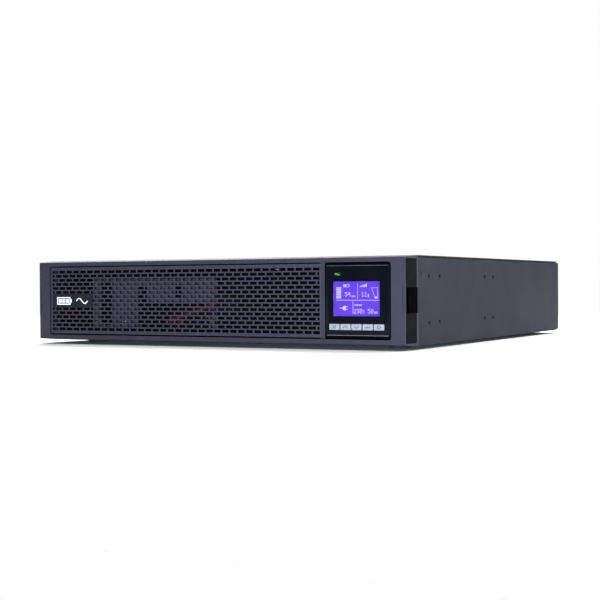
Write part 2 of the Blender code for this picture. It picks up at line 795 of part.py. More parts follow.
def make_inlet():
    """The male mains inlet, three pins in a deep mouth."""
    x, z = INLET_X, INLET_Z
    body = keep(block((x - 14, x + 14), (LID_END - 22, LID_END + 3), (z - 10, z + 10)),
                "mains_inlet", (0.015, 0.015, 0.016), 0.45)
    boolean(body, blocks([((x - 12, x + 12), (LID_END - 15, LID_END + 10), (z - 8, z + 8))]))
    pins = [
        ((x + side - 1, x + side + 1), (LID_END - 18, LID_END - 3), (z - 2 + up, z + 2 + up))
        for side, up in ((-7, -1), (0, 3), (7, -1))
    ]
    boolean(body, blocks(pins), "UNION")


def make_breaker():
    """A push-to-reset thermal breaker: a collar through the panel, and its button."""
    x, z = BREAKER_X, BREAKER_Z
    collar = keep(cylinder((x, LID_END - 8, z), 6, 24, "Y", 20),
                  "input_breaker", (0.02, 0.02, 0.02), 0.5)
    boolean(collar, rods([(x, LID_END, z)], 4.3, 14, "Y", 20))
    keep(cylinder((x, LID_END + 0.2, z), 4, 9.6, "Y", 20), "breaker_button",
         (0.7, 0.7, 0.7), 0.45)


def make_port(name):
    x, z = PORTS[name]
    colour, metal = PORT_LOOKS[name]
    return keep(block(x, PORT_BACK, z), name, colour, 0.4, metal)


PORT_LOOKS = {
    "external_battery_socket": ((0.35, 0.03, 0.03), 0.0),
    "usb_port": ((0.6, 0.6, 0.62), 0.9),
    "emergency_off_terminal": ((0.03, 0.3, 0.12), 0.0),
    "serial_port": ((0.55, 0.55, 0.57), 0.9),
}


def make_ports():
    front = PORT_BACK[1] + 5
    battery = make_port("external_battery_socket")
    x, z = PORTS["external_battery_socket"]
    deep = PORT_BACK[1] - 14
    cells = [((x[0] + 2.5, x[0] + 15.7), (deep, front), (z[0] + 3, z[1] - 3))]
    cells.append(((x[1] - 15.7, x[1] - 2.5), (deep, front), (z[0] + 3, z[1] - 3)))
    boolean(battery, blocks(cells))
    usb = make_port("usb_port")
    x, z = PORTS["usb_port"]
    boolean(usb, blocks([((x[0] + 1.5, x[1] - 1.5), (PORT_BACK[1] - 8, front),
                          (z[0] + 1.5, z[1] - 1.5))]))
    boolean(usb, blocks([((x[0] + 3.2, x[1] - 3.2), (PORT_BACK[1] - 10, PORT_BACK[1] - 0.5),
                          (z[0] + 3.6, z[1] - 3.6))]), "UNION")
    terminal = make_port("emergency_off_terminal")
    x, z = PORTS["emergency_off_terminal"]
    middle = (z[0] + z[1]) / 2
    holes = [(x[0] + 4, PORT_BACK[1], middle), (x[1] - 4, PORT_BACK[1], middle)]
    boolean(terminal, rods(holes, 1.6, 8, "Y", 12))
    serial = make_port("serial_port")
    x, z = PORTS["serial_port"]
    boolean(serial, blocks([((x[0] + 7, x[1] - 7), (PORT_BACK[1] - 5, front),
                             (z[0] + 2.4, z[1] - 2.4))]))
    boolean(serial, blocks([((x[0] + 8.6, x[1] - 8.6), (PORT_BACK[1] - 8, PORT_BACK[1] - 1),
                             (z[0] + 4, z[1] - 4))]), "UNION")


def make_rear_trim():
    outside = (REAR_BACK[1] + GAP, REAR_BACK[1] + GAP + 1.5)
    cover = rounded_block((130, 212), outside, (44, 84), 1.5, 2)
    keep(cover, "option_slot_cover", (0.1, 0.1, 0.115), 0.5)
    screw = cylinder((196, REAR_BACK[1] + GAP + 1.4, 34.5), 3.6, 2.8, "Y", 16)
    keep(screw, "earth_screw", (0.7, 0.6, 0.3), 0.35, 0.9)
    boolean(screw, blocks([((192, 200), (outside[0] + 1.9, 490), (33.9, 35.1))]))


def main():
    start_scene()
    make_chassis_base()
    make_top_cover()
    make_front_plate()
    make_rear_panel()
    make_feet()
    bezel = [make_bezel(), make_grille(), make_badge()]
    bezel += [make_side_grip("side_grip_left", -1), make_side_grip("side_grip_right", 1)]
    module = [make_display_housing(), *make_display_inside()]
    buttons = [make_button(i, name) for i, name in enumerate(BUTTON_NAMES)]
    joint_axis("bezel_pull", (0, 0, TOP / 2), bezel + module + buttons)
    make_battery_tray()
    make_battery_door()
    make_batteries()
    make_battery_leads()
    make_electronics()
    for name, x in FAN_CENTRES.items():
        make_fan(name, x)
    for name, z in OUTLET_ROWS.items():
        make_outlet_block(name, z)
    make_inlet()
    make_breaker()
    make_ports()
    make_rear_trim()


main()
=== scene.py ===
import math

import bmesh
import bpy
from mathutils import Matrix, Vector


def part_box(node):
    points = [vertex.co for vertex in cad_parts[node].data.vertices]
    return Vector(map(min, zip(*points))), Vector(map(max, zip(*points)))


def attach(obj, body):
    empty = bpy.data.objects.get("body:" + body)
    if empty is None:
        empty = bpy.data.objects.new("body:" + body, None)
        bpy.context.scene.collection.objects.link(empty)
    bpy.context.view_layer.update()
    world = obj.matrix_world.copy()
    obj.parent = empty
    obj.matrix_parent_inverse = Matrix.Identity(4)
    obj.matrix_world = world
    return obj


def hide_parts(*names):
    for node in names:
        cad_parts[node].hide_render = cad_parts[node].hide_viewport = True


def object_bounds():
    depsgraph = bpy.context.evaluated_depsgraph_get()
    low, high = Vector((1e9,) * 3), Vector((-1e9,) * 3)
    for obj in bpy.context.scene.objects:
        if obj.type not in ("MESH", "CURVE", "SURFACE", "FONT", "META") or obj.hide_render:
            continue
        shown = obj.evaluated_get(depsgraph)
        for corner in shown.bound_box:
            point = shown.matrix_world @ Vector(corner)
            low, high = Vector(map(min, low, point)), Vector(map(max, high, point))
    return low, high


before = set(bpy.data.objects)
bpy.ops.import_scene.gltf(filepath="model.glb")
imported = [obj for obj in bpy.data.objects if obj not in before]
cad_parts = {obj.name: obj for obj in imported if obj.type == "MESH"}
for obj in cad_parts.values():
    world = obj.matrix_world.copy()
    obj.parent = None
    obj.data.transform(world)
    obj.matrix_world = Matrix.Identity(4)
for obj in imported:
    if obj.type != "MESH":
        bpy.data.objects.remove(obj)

# The looks of a two-unit rack and tower uninterruptible power supply. Sizes are in
# millimetres unless a name says otherwise. A place is x from the middle, back as the
# distance behind the front plane, and z as the height above the surface.

cad_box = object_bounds()
FRONT_Y = cad_box[0].y
MM = 0.001

# Camera, in metres and degrees: where the unit is seen from
CAMERA_PLACE = (0.6793, -1.3007, 0.0622)
CAMERA_YAW, CAMERA_PITCH, CAMERA_ROLL = -28.38, 0.69, -0.33
CAMERA_LENS = 74.6

# Bezel
HALF = 219.0
FOOT = 3.5
TOP = 90.0
BEZEL_DEPTH = 27.0
TAPER = 2.0
FACE = 3.0
WALL = 4.5
WINDOW_X = (-203.3, 202.7)
WINDOW_Z = (10.0, 83.8)
BAR_X = (128.5, 132.4)
GRIP_Z = (35.0, 59.6)
GRIP_SHELF = 3.0
GRIP_WALL = 1.2
GRIP_REACH = 13.0
GRIP_PLATE_BACK = (1.4, 24.3)
NOTCH_X = (214.2, 216.4)
NOTCH_Z = (34.1, 61.5)

# Grille
SLOT_PITCH = 9.41
ROW_PITCH = 4.378
SLOT_ROWS = 15
SLOT_LENGTH = 8.1
SLOT_HEIGHT = 3.15
GRILLE_SKIN = 0.7
FIRST_SLOT_X = -196.5
FIRST_SLOT_Z = 77.53
SLOTS_IN_ROW = 35

# Display
SCREEN_X = (141.8, 190.8)
SCREEN_Z = (32.3, 65.2)
DOT = 0.62
DOT_FILL = 0.94
BUTTONS = ("escape", "up", "down", "enter", "power")

# Rear
REAR_FACE = 475.5
LID_END = 474.0
FANS = {"left": -172.0, "right": -88.0}
FAN_Z = 46.7
OUTLET_XS = (-32.0, -4.0, 24.0, 52.0)
OUTLET_ZS = (26.0, 66.0)

# Studio: the light's name, place, aim, size, power and colour, in metres and watts
WORLD_LIGHT = 0.1
COOL, WHITE = (0.74, 0.85, 1.0), (1, 1, 1)
LIGHTS = (
    ("key", (0.605, -1.341, 0.034), (0.13, -0.24, 0.05), (0.02, 0.02), 31, COOL),
    ("accent", (0.95, -0.75, 0.25), (0.2, -0.24, 0.05), (0.3, 0.3), 1.6, (0.6, 0.82, 1.0)),
    ("side", (0.95, 1.15, 0.4), (0.22, 0.2, 0.05), (0.5, 0.4), 2.8, COOL),
    ("fill", (-1.4, 1.5, 1.0), (0, 0.1, 0.05), (1.2, 0.8), 10, WHITE),
    ("top", (0.15, -0.1, 2.0), (0.15, -0.1, 0), (2.8, 2.8), 60, WHITE),
    ("back", (-0.1, 0.95, 1.5), (-0.1, 0.8, 0), (2.8, 1.0), 60, WHITE),
)


# Places and simple shapes


def at(x, back, z):
    return Vector((x * MM, FRONT_Y + back * MM, z * MM))


def span_of(node):
    """A CAD node's x, back and z ranges."""
    low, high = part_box(node)
    return (
        (low.x / MM, high.x / MM),
        ((low.y - FRONT_Y) / MM, (high.y - FRONT_Y) / MM),
        (low.z / MM, high.z / MM),
    )


def side_span(side, near, far):
    return (near, far) if side > 0 else (-far, -near)


def linked(name, data):
    obj = bpy.data.objects.new(name, data)
    bpy.context.scene.collection.objects.link(obj)
    return obj


def from_bmesh(name, shape):
    mesh = bpy.data.meshes.new(name)
    shape.to_mesh(mesh)
    shape.free()
    return linked(name, mesh)


def blocks(name, boxes):
    """Separate boxes in one mesh, each (x, back, z)."""
    shape = bmesh.new()
    for x, back, z in boxes:
        low, high = at(x[0], back[0], z[0]), at(x[1], back[1], z[1])
        place = Matrix.Translation((low + high) / 2) @ Matrix.Diagonal((*(high - low), 1))
        bmesh.ops.create_cube(shape, size=1, matrix=place)
    return from_bmesh(name, shape)


def rounded_block(name, x, back, z, radius, segments=5):
    """A box whose four edges along the depth are rounded."""
    obj = blocks(name, [(x, back, z)])
    shape = bmesh.new()
    shape.from_mesh(obj.data)
    along = [
        edge for edge in shape.edges
        if abs((edge.verts[0].co - edge.verts[1].co).normalized().y) > 0.9
    ]
    bmesh.ops.bevel(
        shape, geom=along, offset=radius * MM, segments=segments, profile=0.5, affect="EDGES"
    )
    shape.to_mesh(obj.data)
    shape.free()
    return obj


def rods(name, places, radius, length, axis, sides=24):
    """Separate cylinders in one mesh, lying along an axis."""
    turn = {"X": ("Y", 90), "Y": ("X", 90), "Z": ("Z", 0)}[axis]
    shape = bmesh.new()
    for place in places:
        bmesh.ops.create_cone(
            shape, cap_ends=True, segments=sides, radius1=radius * MM, radius2=radius * MM,
            depth=length * MM,
            matrix=Matrix.Translation(at(*place))
            @ Matrix.Rotation(math.radians(turn[1]), 4, turn[0]),
        )
    return from_bmesh(name, shape)


def boolean(target, other, operation="DIFFERENCE"):
    """Cuts or joins now, and removes the helper."""
    modifier = target.modifiers.new("step", "BOOLEAN")
    modifier.operation = operation
    modifier.solver = "EXACT"
    modifier.object = other
    bake(target)
    bpy.data.objects.remove(other)
    return target


def cut(target, *boxes):
    """Takes boxes, each (x, back, z), out of a shape."""
    return boolean(target, blocks("cut", boxes))


def bake(obj):
    """Turns the modifiers into mesh."""
    bpy.context.view_layer.update()
    graph = bpy.context.evaluated_depsgraph_get()
    mesh = bpy.data.meshes.new_from_object(obj.evaluated_get(graph))
    obj.modifiers.clear()
    old, obj.data = obj.data, mesh
    if isinstance(old, bpy.types.Mesh):
        bpy.data.meshes.remove(old)


def soften(obj, width, segments=2, angle=30):
    """Rounds sharp edges and keeps flat faces flat."""
    bevel = obj.modifiers.new("soft_edges", "BEVEL")
    bevel.width = width * MM
    bevel.segments = segments
    bevel.limit_method = "ANGLE"
    bevel.angle_limit = math.radians(angle)
    obj.data.shade_smooth()
    even_normals(obj)
    return obj


def even_normals(obj):
    """Lets each vertex take the direction of its largest faces, so flat faces stay flat."""
    normals = obj.modifiers.new("even_normals", "WEIGHTED_NORMAL")
    normals.weight = 90
    normals.keep_sharp = True


def smooth(obj, angle):
    obj.data.shade_smooth()
    obj.data.set_sharp_from_angle(angle=math.radians(angle))
    return obj


def turned(name, profile, place, axis="Z", steps=32):
    """A profile of (radius, height) points turned about an axis through a place."""
    shape = bmesh.new()
    verts = [shape.verts.new((radius * MM, 0, height * MM)) for radius, height in profile]
    edges = [shape.edges.new(pair) for pair in zip(verts, verts[1:])]
    bmesh.ops.spin(
        shape, geom=verts + edges, cent=(0, 0, 0), axis=(0, 0, 1),
        angle=2 * math.pi, steps=steps, use_merge=True,
    )
    bmesh.ops.remove_doubles(shape, verts=shape.verts, dist=1e-6)
    bmesh.ops.recalc_face_normals(shape, faces=shape.faces)
    turn = {"Z": (0, 0, 0), "Y": (-math.pi / 2, 0, 0), "-Y": (math.pi / 2, 0, 0)}[axis]
    matrix = Matrix.Translation(at(*place))
    for angle, letter in zip(turn, "XYZ"):
        matrix = matrix @ Matrix.Rotation(angle, 4, letter)
    bmesh.ops.transform(shape, matrix=matrix, verts=shape.verts)
    return smooth(from_bmesh(name, shape), 35)


def tube(name, points, radius, cyclic=False):
    """A round wire through places."""
    curve = bpy.data.curves.new(name, "CURVE")
    curve.dimensions = "3D"
    curve.bevel_depth = radius * MM
    curve.bevel_resolution = 4
    curve.use_fill_caps = True
    spline = curve.splines.new("POLY")
    spline.points.add(len(points) - 1)
    for point, place in zip(spline.points, points):
        point.co = (*at(*place), 1)
    spline.use_cyclic_u = cyclic
    spline.use_smooth = True
    return linked(name, curve)


def flat_shapes(name, outlines, back, thickness, edge=0.0):
    """Closed outlines of (x, z) points, filled between each other, facing the front."""
    curve = bpy.data.curves.new(name, "CURVE")
    curve.dimensions = "2D"
    curve.fill_mode = "BOTH"
    curve.extrude = (thickness / 2 - edge) * MM
    curve.bevel_depth = edge * MM
    curve.bevel_resolution = 1
    for outline in outlines:
        spline = curve.splines.new("POLY")
        spline.points.add(len(outline) - 1)
        for point, (x, z) in zip(spline.points, outline):
            point.co = (x * MM, z * MM, 0, 1)
        spline.use_cyclic_u = True
    obj = linked(name, curve)
    obj.location = at(0, back + thickness / 2, 0)
    obj.rotation_euler = (math.pi / 2, 0, 0)
    return joined(name, [obj])


def joined(name, objects):
    """Several meshes or curves as one mesh."""
    shape = bmesh.new()
    graph = bpy.context.evaluated_depsgraph_get()
    bpy.context.view_layer.update()
    for obj in objects:
        mesh = bpy.data.meshes.new_from_object(obj.evaluated_get(graph))
        mesh.transform(obj.matrix_world)
        shape.from_mesh(mesh)
        bpy.data.meshes.remove(mesh)
        bpy.data.objects.remove(obj)
    return from_bmesh(name, shape)


def extruded(name, outline, back):
    """An outline of (x, z) points drawn out along the depth."""
    shape = bmesh.new()
    near = [shape.verts.new(at(x, back[0], z)) for x, z in outline]
    far = [shape.verts.new(at(x, back[1], z)) for x, z in outline]
    shape.faces.new(near)
    shape.faces.new(far[::-1])
    for i in range(len(outline)):
        j = (i + 1) % len(outline)
        shape.faces.new((near[j], near[i], far[i], far[j]))
    bmesh.ops.recalc_face_normals(shape, faces=shape.faces)
    return from_bmesh(name, shape)


# Outlines of (x, z) points


def box_outline(x, z, width, height):
    return [(x, z), (x + width, z), (x + width, z + height), (x, z + height)]


def stroke(points, width):
    """One open stroke of a width."""
    left, right = [], []
    for index, (x, z) in enumerate(points):
        before, after = points[max(index - 1, 0)], points[min(index + 1, len(points) - 1)]
        along = Vector((after[0] - before[0], after[1] - before[1])).normalized()
        normal = Vector((-along.y, along.x)) * width / 2
        left.append((x + normal.x, z + normal.y))
        right.append((x - normal.x, z - normal.y))
    return left + right[::-1]


def wave(x, z, length, height, steps):
    """Points along one sine wave."""
    return [(x + length * i / steps, z + height * math.sin(2 * math.pi * i / steps))
            for i in range(steps + 1)]


def grown(span, by):
    return (span[0] - by, span[1] + by)


def around(centre, half):
    return (centre - half, centre + half)


# Materials


def add_node(tree, kind, values=None, links=None):
    """Adds a node, sets some of its sockets, and links others."""
    node = tree.nodes.new("ShaderNode" + kind)
    for socket, value in (values or {}).items():
        node.inputs[socket].default_value = value
    for socket, source in (links or {}).items():
        tree.links.new(source, node.inputs[socket])
    return node


class Look:
    """A material in the making: its nodes, its shader and the object's coordinates."""

    def __init__(self, name):
        self.material = bpy.data.materials.new(name)
        self.material.use_nodes = True
        self.tree = self.material.node_tree
        self.shader = self.tree.nodes["Principled BSDF"]
        self.coords = self.node("TexCoord").outputs["Object"]

    def node(self, kind, values=None, links=None):
        return add_node(self.tree, kind, values, links)

    def constants(self, **values):
        for socket, value in values.items():
            self.shader.inputs[socket.replace("_", " ")].default_value = value

    def noise(self, scale, detail=3.0, stretch=None):
        vector = self.coords
        if stretch:
            mapping = self.node("Mapping", {"Scale": stretch}, {"Vector": vector})
            vector = mapping.outputs["Vector"]
        values = {"Scale": scale, "Detail": detail}
        return self.node("TexNoise", values, {"Vector": vector}).outputs["Fac"]

    def tint(self, pattern, colour, amount, socket="Base Color"):
        """A pattern darkens and lightens a colour by a share."""
        ramp = self.node("ValToRGB", links={"Fac": pattern})
        for end, position, sign in zip(ramp.color_ramp.elements, (0.3, 0.7), (-1, 1)):
            end.position = position
            end.color = (*[c * (1 + sign * amount) for c in colour], 1)
        self.tree.links.new(ramp.outputs["Color"], self.shader.inputs[socket])

    def rough(self, pattern, low, high, start=0.3, end=0.7):
        """A pattern spreads the roughness over a range."""
        values = {"From Min": start, "From Max": end, "To Min": low, "To Max": high}
        node = self.node("MapRange", values, {"Value": pattern})
        self.tree.links.new(node.outputs["Result"], self.shader.inputs["Roughness"])

    def bump(self, heights, distance, strength):
        """A bump from one height, or from the sum of two."""
        value = heights[0]
        for other in heights[1:]:
            value = self.node("Math", links={0: value, 1: other}).outputs[0]
        values = {"Distance": distance * MM, "Strength": strength}
        node = self.node("Bump", values, {"Height": value})
        self.tree.links.new(node.outputs["Normal"], self.shader.inputs["Normal"])


def grained(name, colour, roughness, grain=1500, depth=0.04, mottle=0.08, specular=0.5):
    """Moulded plastic or rubber: fine grain, soft mottling and uneven gloss."""
    look = Look(name)
    look.tint(look.noise(28, 4), colour, mottle)
    look.rough(look.noise(90, 4), roughness - 0.05, roughness + 0.05)
    look.constants(Specular_IOR_Level=specular)
    look.bump([look.noise(grain, 2)], depth, 0.6)
    return look.material


def powder_coat(name, colour, roughness, specular, scale=900, depth=0.1, speckle=0.2):
    """Textured paint on sheet steel: pebbled, with a fine speckle."""
    look = Look(name)
    pebbles = look.node("TexVoronoi", {"Scale": scale}, {"Vector": look.coords})
    pebbles.feature = "SMOOTH_F1"
    fine = look.noise(scale * 1.7, 3)
    look.tint(fine, colour, speckle)
    look.rough(look.noise(14, 4), roughness - 0.05, roughness + 0.06)
    look.constants(Specular_IOR_Level=specular)
    look.bump([pebbles.outputs["Distance"], fine], depth, 0.5)
    return look.material


def bare_metal(name, colour, roughness, stretch=(4, 60, 60), scale=60):
    """Drawn, rolled or plated metal with fine lines along one way."""
    look = Look(name)
    drawn = look.noise(scale, 4, stretch)
    look.tint(drawn, colour, 0.12)
    look.rough(drawn, roughness - 0.06, roughness + 0.08)
    look.constants(Metallic=1.0)
    look.bump([drawn], 0.02, 0.3)
    return look.material


def display_gloss():
    """Polished plastic with a clear surface and a trace of fine scuffs."""
    look = Look("display_gloss")
    look.tint(look.noise(40, 3), (0.0025, 0.003, 0.0046), 0.1)
    look.rough(look.noise(500, 5, (1, 6, 1)), 0.08, 0.13, 0.45, 0.8)
    look.constants(Specular_IOR_Level=0.06, Coat_Weight=0.03, Coat_Roughness=0.03)
    return look.material


def clear_window():
    """Clear glass over the display, faintly tinted."""
    look = Look("display_window")
    look.tint(look.noise(30, 2), (0.9, 0.9, 1.0), 0.02)
    look.rough(look.noise(400, 4), 0.02, 0.05)
    look.constants(Transmission_Weight=1.0, IOR=1.15)
    return look.material


def lit(name, colour, strength):
    """A surface lit from behind, slightly uneven."""
    look = Look(name)
    look.tint(look.noise(60, 2), colour, 0.04, "Emission Color")
    look.tint(look.noise(200, 2), colour, 0.1)
    look.constants(Emission_Strength=strength, Roughness=0.35)
    return look.material


def circuit():
    """Green board with darker tracks and solder-bright spots."""
    look = Look("circuit_board")
    tracks = look.node("TexBrick", {
        "Scale": 160, "Mortar Size": 0.03, "Color1": (0.01, 0.10, 0.04, 1),
        "Color2": (0.015, 0.13, 0.05, 1), "Mortar": (0.03, 0.20, 0.08, 1),
    }, {"Vector": look.coords})
    look.tree.links.new(tracks.outputs["Color"], look.shader.inputs["Base Color"])
    look.rough(look.noise(300), 0.3, 0.5)
    look.bump([tracks.outputs["Fac"]], 0.05, 0.4)
    return look.material


def windings():
    """Varnished turns of copper wire side by side."""
    look = Look("copper_winding")
    turns = look.node("TexWave", {"Scale": 380, "Distortion": 0.6}, {"Vector": look.coords})
    look.tint(turns.outputs["Fac"], (0.5, 0.2, 0.07), 0.4)
    look.rough(look.noise(90), 0.25, 0.4)
    look.constants(Metallic=0.7)
    look.bump([turns.outputs["Fac"]], 0.2, 0.6)
    return look.material


# Name, colour and roughness, then where they differ: grain, depth, mottle and specular
GRAINED = {
    "bezel": ("bezel_plastic", (0.0202, 0.0194, 0.0305), 0.45, 1600, 0.05, 0.06, 0.3),
    "grille": ("grille_plastic", (0.0238, 0.0228, 0.034), 0.45, 1800, 0.03, 0.06, 0.3),
    "grip": ("grip_plastic", (0.0034, 0.0027, 0.0038), 0.6, 1300, 0.05, 0.1, 0.035),
    "badge": ("badge_plastic", (0.007, 0.008, 0.014), 0.35, 2000, 0.02, 0.1, 0.2),
    "lamp": ("lamp_lens", (0.01, 0.02, 0.012), 0.2, 900, 0.01),
    "button": ("button_plastic", (0.225, 0.24, 0.265), 0.3, 1500, 0.03, 0.05),
    "icon": ("icon_print", (0.045, 0.05, 0.06), 0.4, 1500, 0.01, 0.03),
    # The next colour is a painted highlight: light bars that stand for the glint on the display
    # housing's bevelled edges.
    "trim": ("trim_edge", (0.10, 0.105, 0.118), 0.3, 1500, 0.02, 0.2),
    "print": ("white_print", (0.85, 0.86, 0.9), 0.45, 1500, 0.01, 0.03),
    "rubber": ("foot_rubber", (0.008, 0.008, 0.008), 0.8, 700, 0.1, 0.2, 0.3),
    "battery": ("battery_case", (0.002, 0.002, 0.0026), 0.6, 500, 0.08, 0.15, 0.05),
    "lead_red": ("lead_red", (0.052, 0.0042, 0.014), 0.5, 1200, 0.02, 0.1, 0.1),
    "lead_black": ("lead_black", (0.002, 0.002, 0.0025), 0.5, 1200, 0.02, 0.1, 0.1),
    "plug": ("plug_plastic", (0.002, 0.002, 0.0026), 0.6, 900, 0.04, 0.1, 0.05),
    "teal": ("teal_plastic", (0.01, 0.07, 0.066), 0.5, 900, 0.03, 0.1, 0.1),
    "core": ("iron_core", (0.03, 0.026, 0.026), 0.5, 400, 0.1, 0.2),
    "sleeve": ("capacitor_sleeve", (0.01, 0.015, 0.05), 0.3, 900, 0.02),
    "fan": ("fan_plastic", (0.008, 0.008, 0.009), 0.45, 900, 0.04),
    "socket": ("socket_plastic", (0.010, 0.010, 0.011), 0.4, 900, 0.05),
    "breaker": ("breaker_cap", (0.55, 0.55, 0.53), 0.4, 900, 0.03),
    "battery_socket": ("battery_socket_plastic", (0.22, 0.012, 0.012), 0.45, 900, 0.04),
    "terminal": ("terminal_plastic", (0.02, 0.18, 0.07), 0.4, 900, 0.04),
    "nut": ("nut_black", (0.004, 0.004, 0.005), 0.5, 900, 0.03, 0.1, 0.15),
    "floor": ("pale_floor", (0.93, 0.93, 0.93), 0.6, 300, 0.01, 0.01),
}
# Name, colour, roughness and specular, then where they differ: scale, depth and speckle
PAINTED = {
    "chassis": ("chassis_paint", (0.0205, 0.0205, 0.0275), 0.6, 0.12),
    # The lid's paint is darker than the sides' powder coat: part its own dark paint, part painted
    # shade for the dark line along its top edges.
    "lid": ("lid_paint", (0.0075, 0.0076, 0.0092), 0.6, 0.15),
    # Near black, darker than paint itself, so that the front plate and the battery tray seen
    # through the grille read as the shade inside: part black paint, part painted shade.
    "black_steel": ("black_paint", (0.0012, 0.0012, 0.0017), 0.75, 0.02, 700),
    "grey_steel": ("grey_paint", (0.031, 0.029, 0.041), 0.6, 0.1, 600, 0.05, 0.1),
}
# Name, colour and roughness, then where they differ: stretch and scale
METALS = {
    "zinc": ("zinc_plate", (0.5, 0.5, 0.52), 0.35),
    "aluminium": ("bare_aluminium", (0.55, 0.55, 0.57), 0.35, (60, 4, 60)),
    "wire": ("guard_wire", (0.62, 0.62, 0.64), 0.22, (20, 20, 20), 90),
    "pin": ("pin_nickel", (0.66, 0.64, 0.6), 0.25, (60, 4, 60), 90),
    "port": ("port_shell", (0.6, 0.6, 0.62), 0.3),
    "brass": ("earth_brass", (0.72, 0.55, 0.25), 0.3, (30, 30, 30), 90),
    "screw": ("screw_plate", (0.10, 0.10, 0.11), 0.35, (30, 30, 30), 90),
}
# Name, colour and strength
GLOWING = {
    "backlight": ("display_backlight", (0.098, 0.034, 0.50), 0.66),
    "marks": ("display_marks", (0.55, 0.51, 0.85), 0.75),
    "lamp_lit": ("lamp_lit", (0.025, 0.22, 0.03), 0.7),
}
LOOKS = {}


def make_looks():
    for recipe, table in ((grained, GRAINED), (powder_coat, PAINTED), (bare_metal, METALS),
                          (lit, GLOWING)):
        LOOKS.update({look: recipe(*row) for look, row in table.items()})
    LOOKS.update(gloss=display_gloss(), window=clear_window(), circuit=circuit(),
                 copper=windings())


def paint(obj, look):
    obj.data.materials.clear()
    obj.data.materials.append(LOOKS[look])


def piece(obj, name, look, body, stands_for=()):
    """Names and paints a piece, and puts it on its body."""
    obj.name = name
    obj.data.name = name
    paint(obj, look)
    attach(obj, body)
    if stands_for:
        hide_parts(*stands_for)


def stand_in(obj, node, ending, look, body="chassis"):
    """A piece that stands for a CAD node, and is named after it."""
    piece(obj, f"{node}_{ending}", look, body, [node])


# Bezel and what it carries


def tapered_bezel_block():
    obj = blocks("front_bezel_shell", [((-HALF, HALF), (0, BEZEL_DEPTH), (FOOT, TOP))])
    front = FRONT_Y + 1e-6
    middle = (FOOT + TOP) / 2 * MM
    for vertex in obj.data.vertices:
        if vertex.co.y < front:
            vertex.co.x -= math.copysign(TAPER * MM, vertex.co.x)
            vertex.co.z -= math.copysign(TAPER * MM, vertex.co.z - middle)
    return obj


def window_chamfer():
    """What a sloping edge along the foot of the window takes off the face."""
    width, sill = 0.9, WINDOW_Z[0]
    flare = blocks("flare", [(grown(WINDOW_X, -1.0), (-0.1, width), (sill - 0.01, sill + 2))])
    for vertex in flare.data.vertices:
        if vertex.co.y < FRONT_Y and vertex.co.z < (sill + 1) * MM:
            vertex.co.z -= (width + 0.1) * MM
    return flare


def make_bezel():
    shell = tapered_bezel_block()
    inner_x, deep = HALF - WALL, BEZEL_DEPTH + 5
    cut(shell, ((-inner_x, inner_x), (FACE, deep), (FOOT + 3.6, TOP - 3.6)))
    for window_x in ((WINDOW_X[0], BAR_X[0]), (BAR_X[1], WINDOW_X[1])):
        boolean(shell, rounded_block("cut", window_x, (-5, 10), WINDOW_Z, 2.5))
    cut(shell, (grown(BAR_X, 1), (-5, 1.4), WINDOW_Z))
    boolean(shell, window_chamfer())
    shelf = HALF - GRIP_SHELF
    for side in (-1, 1):
        cut(shell, (side_span(side, shelf, HALF + 5), GRIP_PLATE_BACK, (FOOT + 3.2, TOP - 3.2)))
        cut(shell, (side_span(side, HALF - GRIP_REACH, shelf + 0.3), (2.0, deep),
                    grown(GRIP_Z, GRIP_WALL + 0.3)))
        cut(shell, (side_span(side, shelf - 0.3, HALF + 5), (2.0, deep), GRIP_Z))
        cut(shell, (side_span(side, *NOTCH_X), (-5, 1.0), NOTCH_Z))
    soften(shell, 0.4)
    stand_in(shell, "front_bezel", "shell", "bezel", "bezel")


def make_side_grip(name, side):
    """The dark insert, with a rounded pocket that dips in for the fingertips."""
    near, far = GRIP_PLATE_BACK[0] + 0.3, GRIP_PLATE_BACK[1] - 0.3
    plate = blocks("grip", [(side_span(side, HALF - 2.7, HALF - 0.5), (near, far),
                             (FOOT + 3.5, TOP - 3.5))])
    middle = FRONT_Y + (near + far) / 2 * MM
    for vertex in plate.data.vertices:
        if vertex.co.x * side > (HALF - 1.5) * MM and vertex.co.y < middle:
            vertex.co.x -= side * TAPER * 0.8 * MM
    deep = HALF - GRIP_REACH + 0.3
    for outer, back in ((HALF - 1.9, (2.3, far)),
                        (HALF - GRIP_SHELF - 0.3, (far - 1, BEZEL_DEPTH - 0.3))):
        bowl = blocks("bowl", [(side_span(side, deep, outer), back, grown(GRIP_Z, GRIP_WALL))])
        boolean(plate, bowl, "UNION")
    pocket = blocks("pocket", [(side_span(side, deep + GRIP_WALL, HALF + 5),
                                (2.4 + GRIP_WALL, BEZEL_DEPTH + 5), GRIP_Z)])
    soften(pocket, 1.4, 4)
    bake(pocket)
    boolean(plate, pocket)
    soften(plate, 0.3)
    stand_in(plate, name, "insert", "grip", "bezel")


def slot_outline(x0, x1, z):
    """A slot with slightly rounded ends."""
    half, cut = SLOT_HEIGHT / 2, 0.45
    return [
        (x0 + cut, z - half), (x1 - cut, z - half), (x1, z - half + cut), (x1, z + half - cut),
        (x1 - cut, z + half), (x0 + cut, z + half), (x0, z + half - cut), (x0, z - half + cut),
    ]


